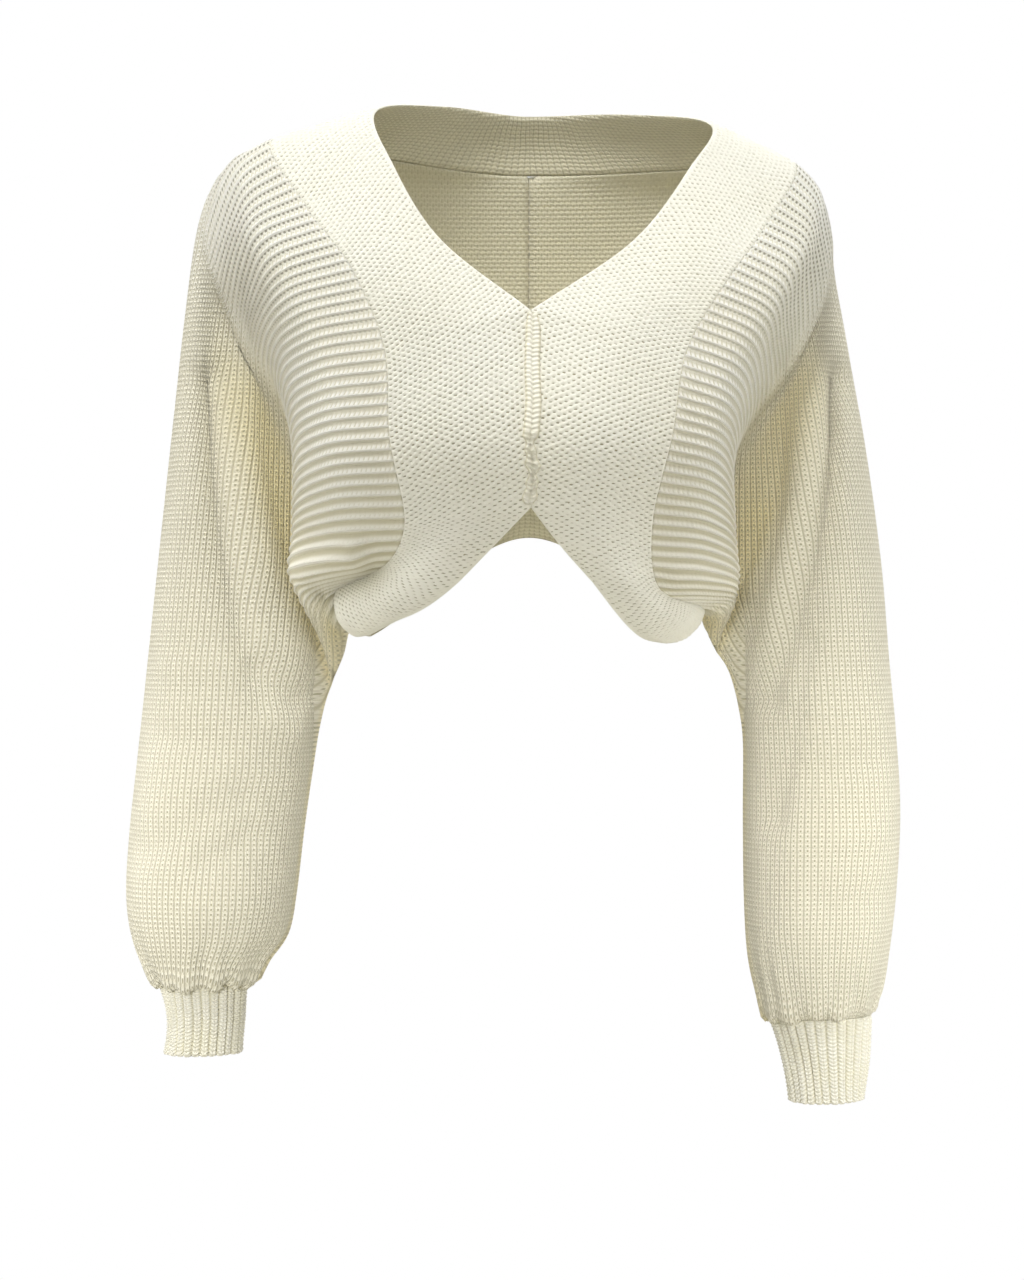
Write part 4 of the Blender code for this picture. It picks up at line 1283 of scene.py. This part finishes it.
def rib_knit(name, light, dark, slant, groove, marked):
    """Columns of V stitches with a groove between each pair, for the cuffs and the strip, with painted shade
    in the grooves, between the loops and down the middle of each column.
    """
    made = Finish(name)
    u, v, _ = made.pattern()
    away = abs(u.fraction() - 0.5) * 2.0
    loop = wave(away * slant + v)
    middle = away.ramp(0.22, 0.02) * 0.30
    lost = most(loop.ramp(0.40, 0.0) * marked, middle, away.ramp(0.60, 1.0) * groove)
    base = made.mix(made.noise(40.0).ramp(0.3, 0.7), light, shaded(light, 0.97, 0.96, 0.90))
    return made.finish(made.mix(lost, base, dark), loop - middle * 1.2, 0.0006)


# ---------------------------------------------------------------- the scene

MIDDLE = (0.0, 0.0, -0.33)
WHITE, WARM_WHITE, YELLOWISH = (1.0, 1.0, 1.0), (1.0, 0.99, 0.965), (1.0, 0.96, 0.84)
LAMPS = (
    # name, place, what it lights, size across or angle of a narrow beam, power, colour
    ("key", (-0.40, -0.90, 1.55), (0.0, 0.0, -0.25), 0.8, 19.0, (1.0, 0.995, 0.98)),
    ("left", (-2.8, -0.5, -0.2), MIDDLE, 1.5, 17.0, (1.0, 0.995, 0.975)),
    ("right", (2.8, -0.5, -0.2), MIDDLE, 1.5, 20.0, (0.985, 0.99, 1.0)),
    ("top", (0.0, 0.3, 2.2), MIDDLE, 1.6, 14.0, WHITE),
    ("back", (0.6, 2.6, 1.0), MIDDLE, 2.0, 55.0, WHITE),
)
BEAMS = (
    ("right sleeve", (-0.95, -2.1, -0.35), (-0.37, 0.0, -0.53), 15, 205.0, WARM_WHITE),
    ("left sleeve", (0.95, -2.1, -0.35), (0.36, 0.0, -0.58), 15, 235.0, WARM_WHITE),
    ("left crease", (0.24, -2.3, -0.28), (0.196, 0.0, -0.30), 4.6, 255.0, (1.0, 0.95, 0.80)),
    ("right crease", (-0.24, -2.3, -0.24), (-0.190, 0.0, -0.25), 3.5, 90.0, YELLOWISH),
    ("chest", (-0.10, -1.7, 0.60), (-0.01, 0.0, -0.170), 10, 76.0, WARM_WHITE),
)
CAMERA_AWAY = 2.4      # the camera looks straight back from this far
VIEW_HEIGHT = 0.8832   # the height that it takes in where the garment is
VIEW_MIDDLE = (-0.0124, -0.36225)               # the middle of that view, across and up
FLOOR_LEVEL, FLOOR_RADIUS, FLOOR_SIDES = -1.45, 3.4, 64


def lamps():
    for kind, table in (("AREA", LAMPS), ("SPOT", BEAMS)):
        for name, place, target, size, power, color in table:
            data = bpy.data.lights.new(name, kind)
            data.energy = power
            data.color = color
            if kind == "AREA":
                data.shape = "DISK"
                data.size = size
            else:
                data.spot_size = math.radians(size)
                data.spot_blend = 1.0
                data.shadow_soft_size = 0.25
            lamp = linked(name, data)
            lamp.location = place
            lamp.rotation_euler = (Vector(target) - Vector(place)).to_track_quat("-Z", "Y").to_euler()


def camera():
    data = bpy.data.cameras.new("camera")
    data.sensor_fit = "AUTO"
    data.sensor_width = 36.0
    data.lens = data.sensor_width * CAMERA_AWAY / VIEW_HEIGHT
    data.clip_start = 0.05
    data.clip_end = 30.0
    holder = linked("camera", data)
    holder.location = (VIEW_MIDDLE[0], -CAMERA_AWAY, VIEW_MIDDLE[1])
    holder.rotation_euler = (math.radians(90), 0.0, 0.0)
    bpy.context.scene.camera = holder
    bpy.context.scene.view_settings.view_transform = "Standard"


def room():
    """A white room, whose soft light comes from above more than from below."""
    world = bpy.data.worlds.new("studio")
    bpy.context.scene.world = world
    world.use_nodes = True
    tree = world.node_tree
    tree.nodes.clear()
    seen, lit, way, parts, amount, rays, mix, out = (tree.nodes.new("ShaderNode" + kind) for kind in (
        "Background", "Background", "TexCoord", "SeparateXYZ", "MapRange", "LightPath", "MixShader",
        "OutputWorld"))
    seen.inputs["Color"].default_value = (1.0, 1.0, 1.0, 1.0)
    seen.inputs["Strength"].default_value = 1.0
    lit.inputs["Color"].default_value = (1.0, 0.985, 0.95, 1.0)
    for name, value in (("From Min", -0.25), ("From Max", 0.5), ("To Min", 0.14), ("To Max", 0.52)):
        amount.inputs[name].default_value = value
    for socket, target in (
            (way.outputs["Generated"], parts.inputs[0]), (parts.outputs["Z"], amount.inputs["Value"]),
            (amount.outputs["Result"], lit.inputs["Strength"]),
            (rays.outputs["Is Camera Ray"], mix.inputs[0]), (lit.outputs[0], mix.inputs[1]),
            (seen.outputs[0], mix.inputs[2]), (mix.outputs[0], out.inputs["Surface"])):
        tree.links.new(socket, target)


def floor():
    data = bpy.data.meshes.new("floor")
    turns = [2 * math.pi * k / FLOOR_SIDES for k in range(FLOOR_SIDES)]
    rim = [(FLOOR_RADIUS * math.cos(turn), FLOOR_RADIUS * math.sin(turn), FLOOR_LEVEL) for turn in turns]
    data.from_pydata(rim, [], [list(range(FLOOR_SIDES))])
    finish = bpy.data.materials.new("floor")
    finish.use_nodes = True
    shader = finish.node_tree.nodes["Principled BSDF"]
    shader.inputs["Base Color"].default_value = (0.64, 0.62, 0.54, 1.0)
    shader.inputs["Roughness"].default_value = 0.9
    data.materials.append(finish)
    linked("floor", data)


# ---------------------------------------------------------------- making it

def build():
    # The main knit's painted colours: a warmer shade, a yellowish glow, the shade of its grooves and the
    # shadow in its eyelets.
    main = wale_knit("main_knit", (0.91, 0.905, 0.85), (0.94, 0.905, 0.76), (0.97, 0.88, 0.57),
                     (0.57, 0.53, 0.36), (0.27, 0.26, 0.21))
    # The insides are yellower, darker copies of the yarn's colour: painted shade, darkest in the back hem
    # and the cuffs.
    main_inside = purl_knit("main_inside", (0.93, 0.89, 0.70), (0.85, 0.81, 0.61), True)
    # The band's dark colour is painted shade in its slits.
    band = moss_knit("band_knit", (0.93, 0.92, 0.83), (0.38, 0.35, 0.23))
    band_inside = purl_knit("band_inside", (0.90, 0.86, 0.67), (0.72, 0.68, 0.50))
    hem_inside_shade = purl_knit("hem_inside_shade", (0.62, 0.585, 0.42), (0.50, 0.465, 0.32))
    cuff_finish = rib_knit("cuff_knit", (0.97, 0.955, 0.86), (0.70, 0.66, 0.49), 0.55, 0.80, 0.40)
    # The strip's grooves are painted shade along both its sides.
    strip_finish = rib_knit("strip_knit", (0.97, 0.955, 0.86), (0.76, 0.72, 0.55), 0.70, 1.0, 0.16)
    cuff_inside_shade = purl_knit("cuff_inside_shade", (0.76, 0.72, 0.52), (0.58, 0.54, 0.37), True)

    made = {}
    fronts, necks, hems = {}, {}, {}
    for side in SIGN:
        seam = seam_normals(side)
        made["dolman_" + side] = (dolman(side, (main, main_inside)), "main_knit")
        made["cuff_" + side] = (cuff(side, (cuff_finish, cuff_inside_shade)), "cuff_knit")
        necks[side] = band_part(side, 0, SHOULDER, seam)
        fronts[side] = part = band_part(side, SHOULDER, SIDE, seam)
        hems[side] = backwards(band_part(side, SIDE, len(BAND_ORDER) - 1, seam))
        roll = ROLL_FLAT + ROLL_SIDE * smooth((part["places"] - JOIN_FOOT - 0.2) / 0.8)
        made["front_band_" + side] = (
            band_piece("knit_front_band_" + side, part, SIGN[side] > 0, (band, band_inside), roll, side),
            "band_knit")
    for name, halves, turn, inside, roll in (
            ("neck_band", necks, True, band_inside, ROLL_FLAT),
            ("hem_band", hems, False, hem_inside_shade, ROLL_BACK)):
        part = joined(halves["right"], halves["left"])
        made[name] = (band_piece("knit_" + name, part, turn, (band, inside), roll), "band_knit")
    made["centre_front_strip"] = (strip(fronts, (strip_finish, band_inside)), "band_knit")

    for node, (piece, slot) in made.items():
        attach(piece, "root")
        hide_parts(node)
    return made


PIECES = build()
camera()
lamps()
room()
floor()
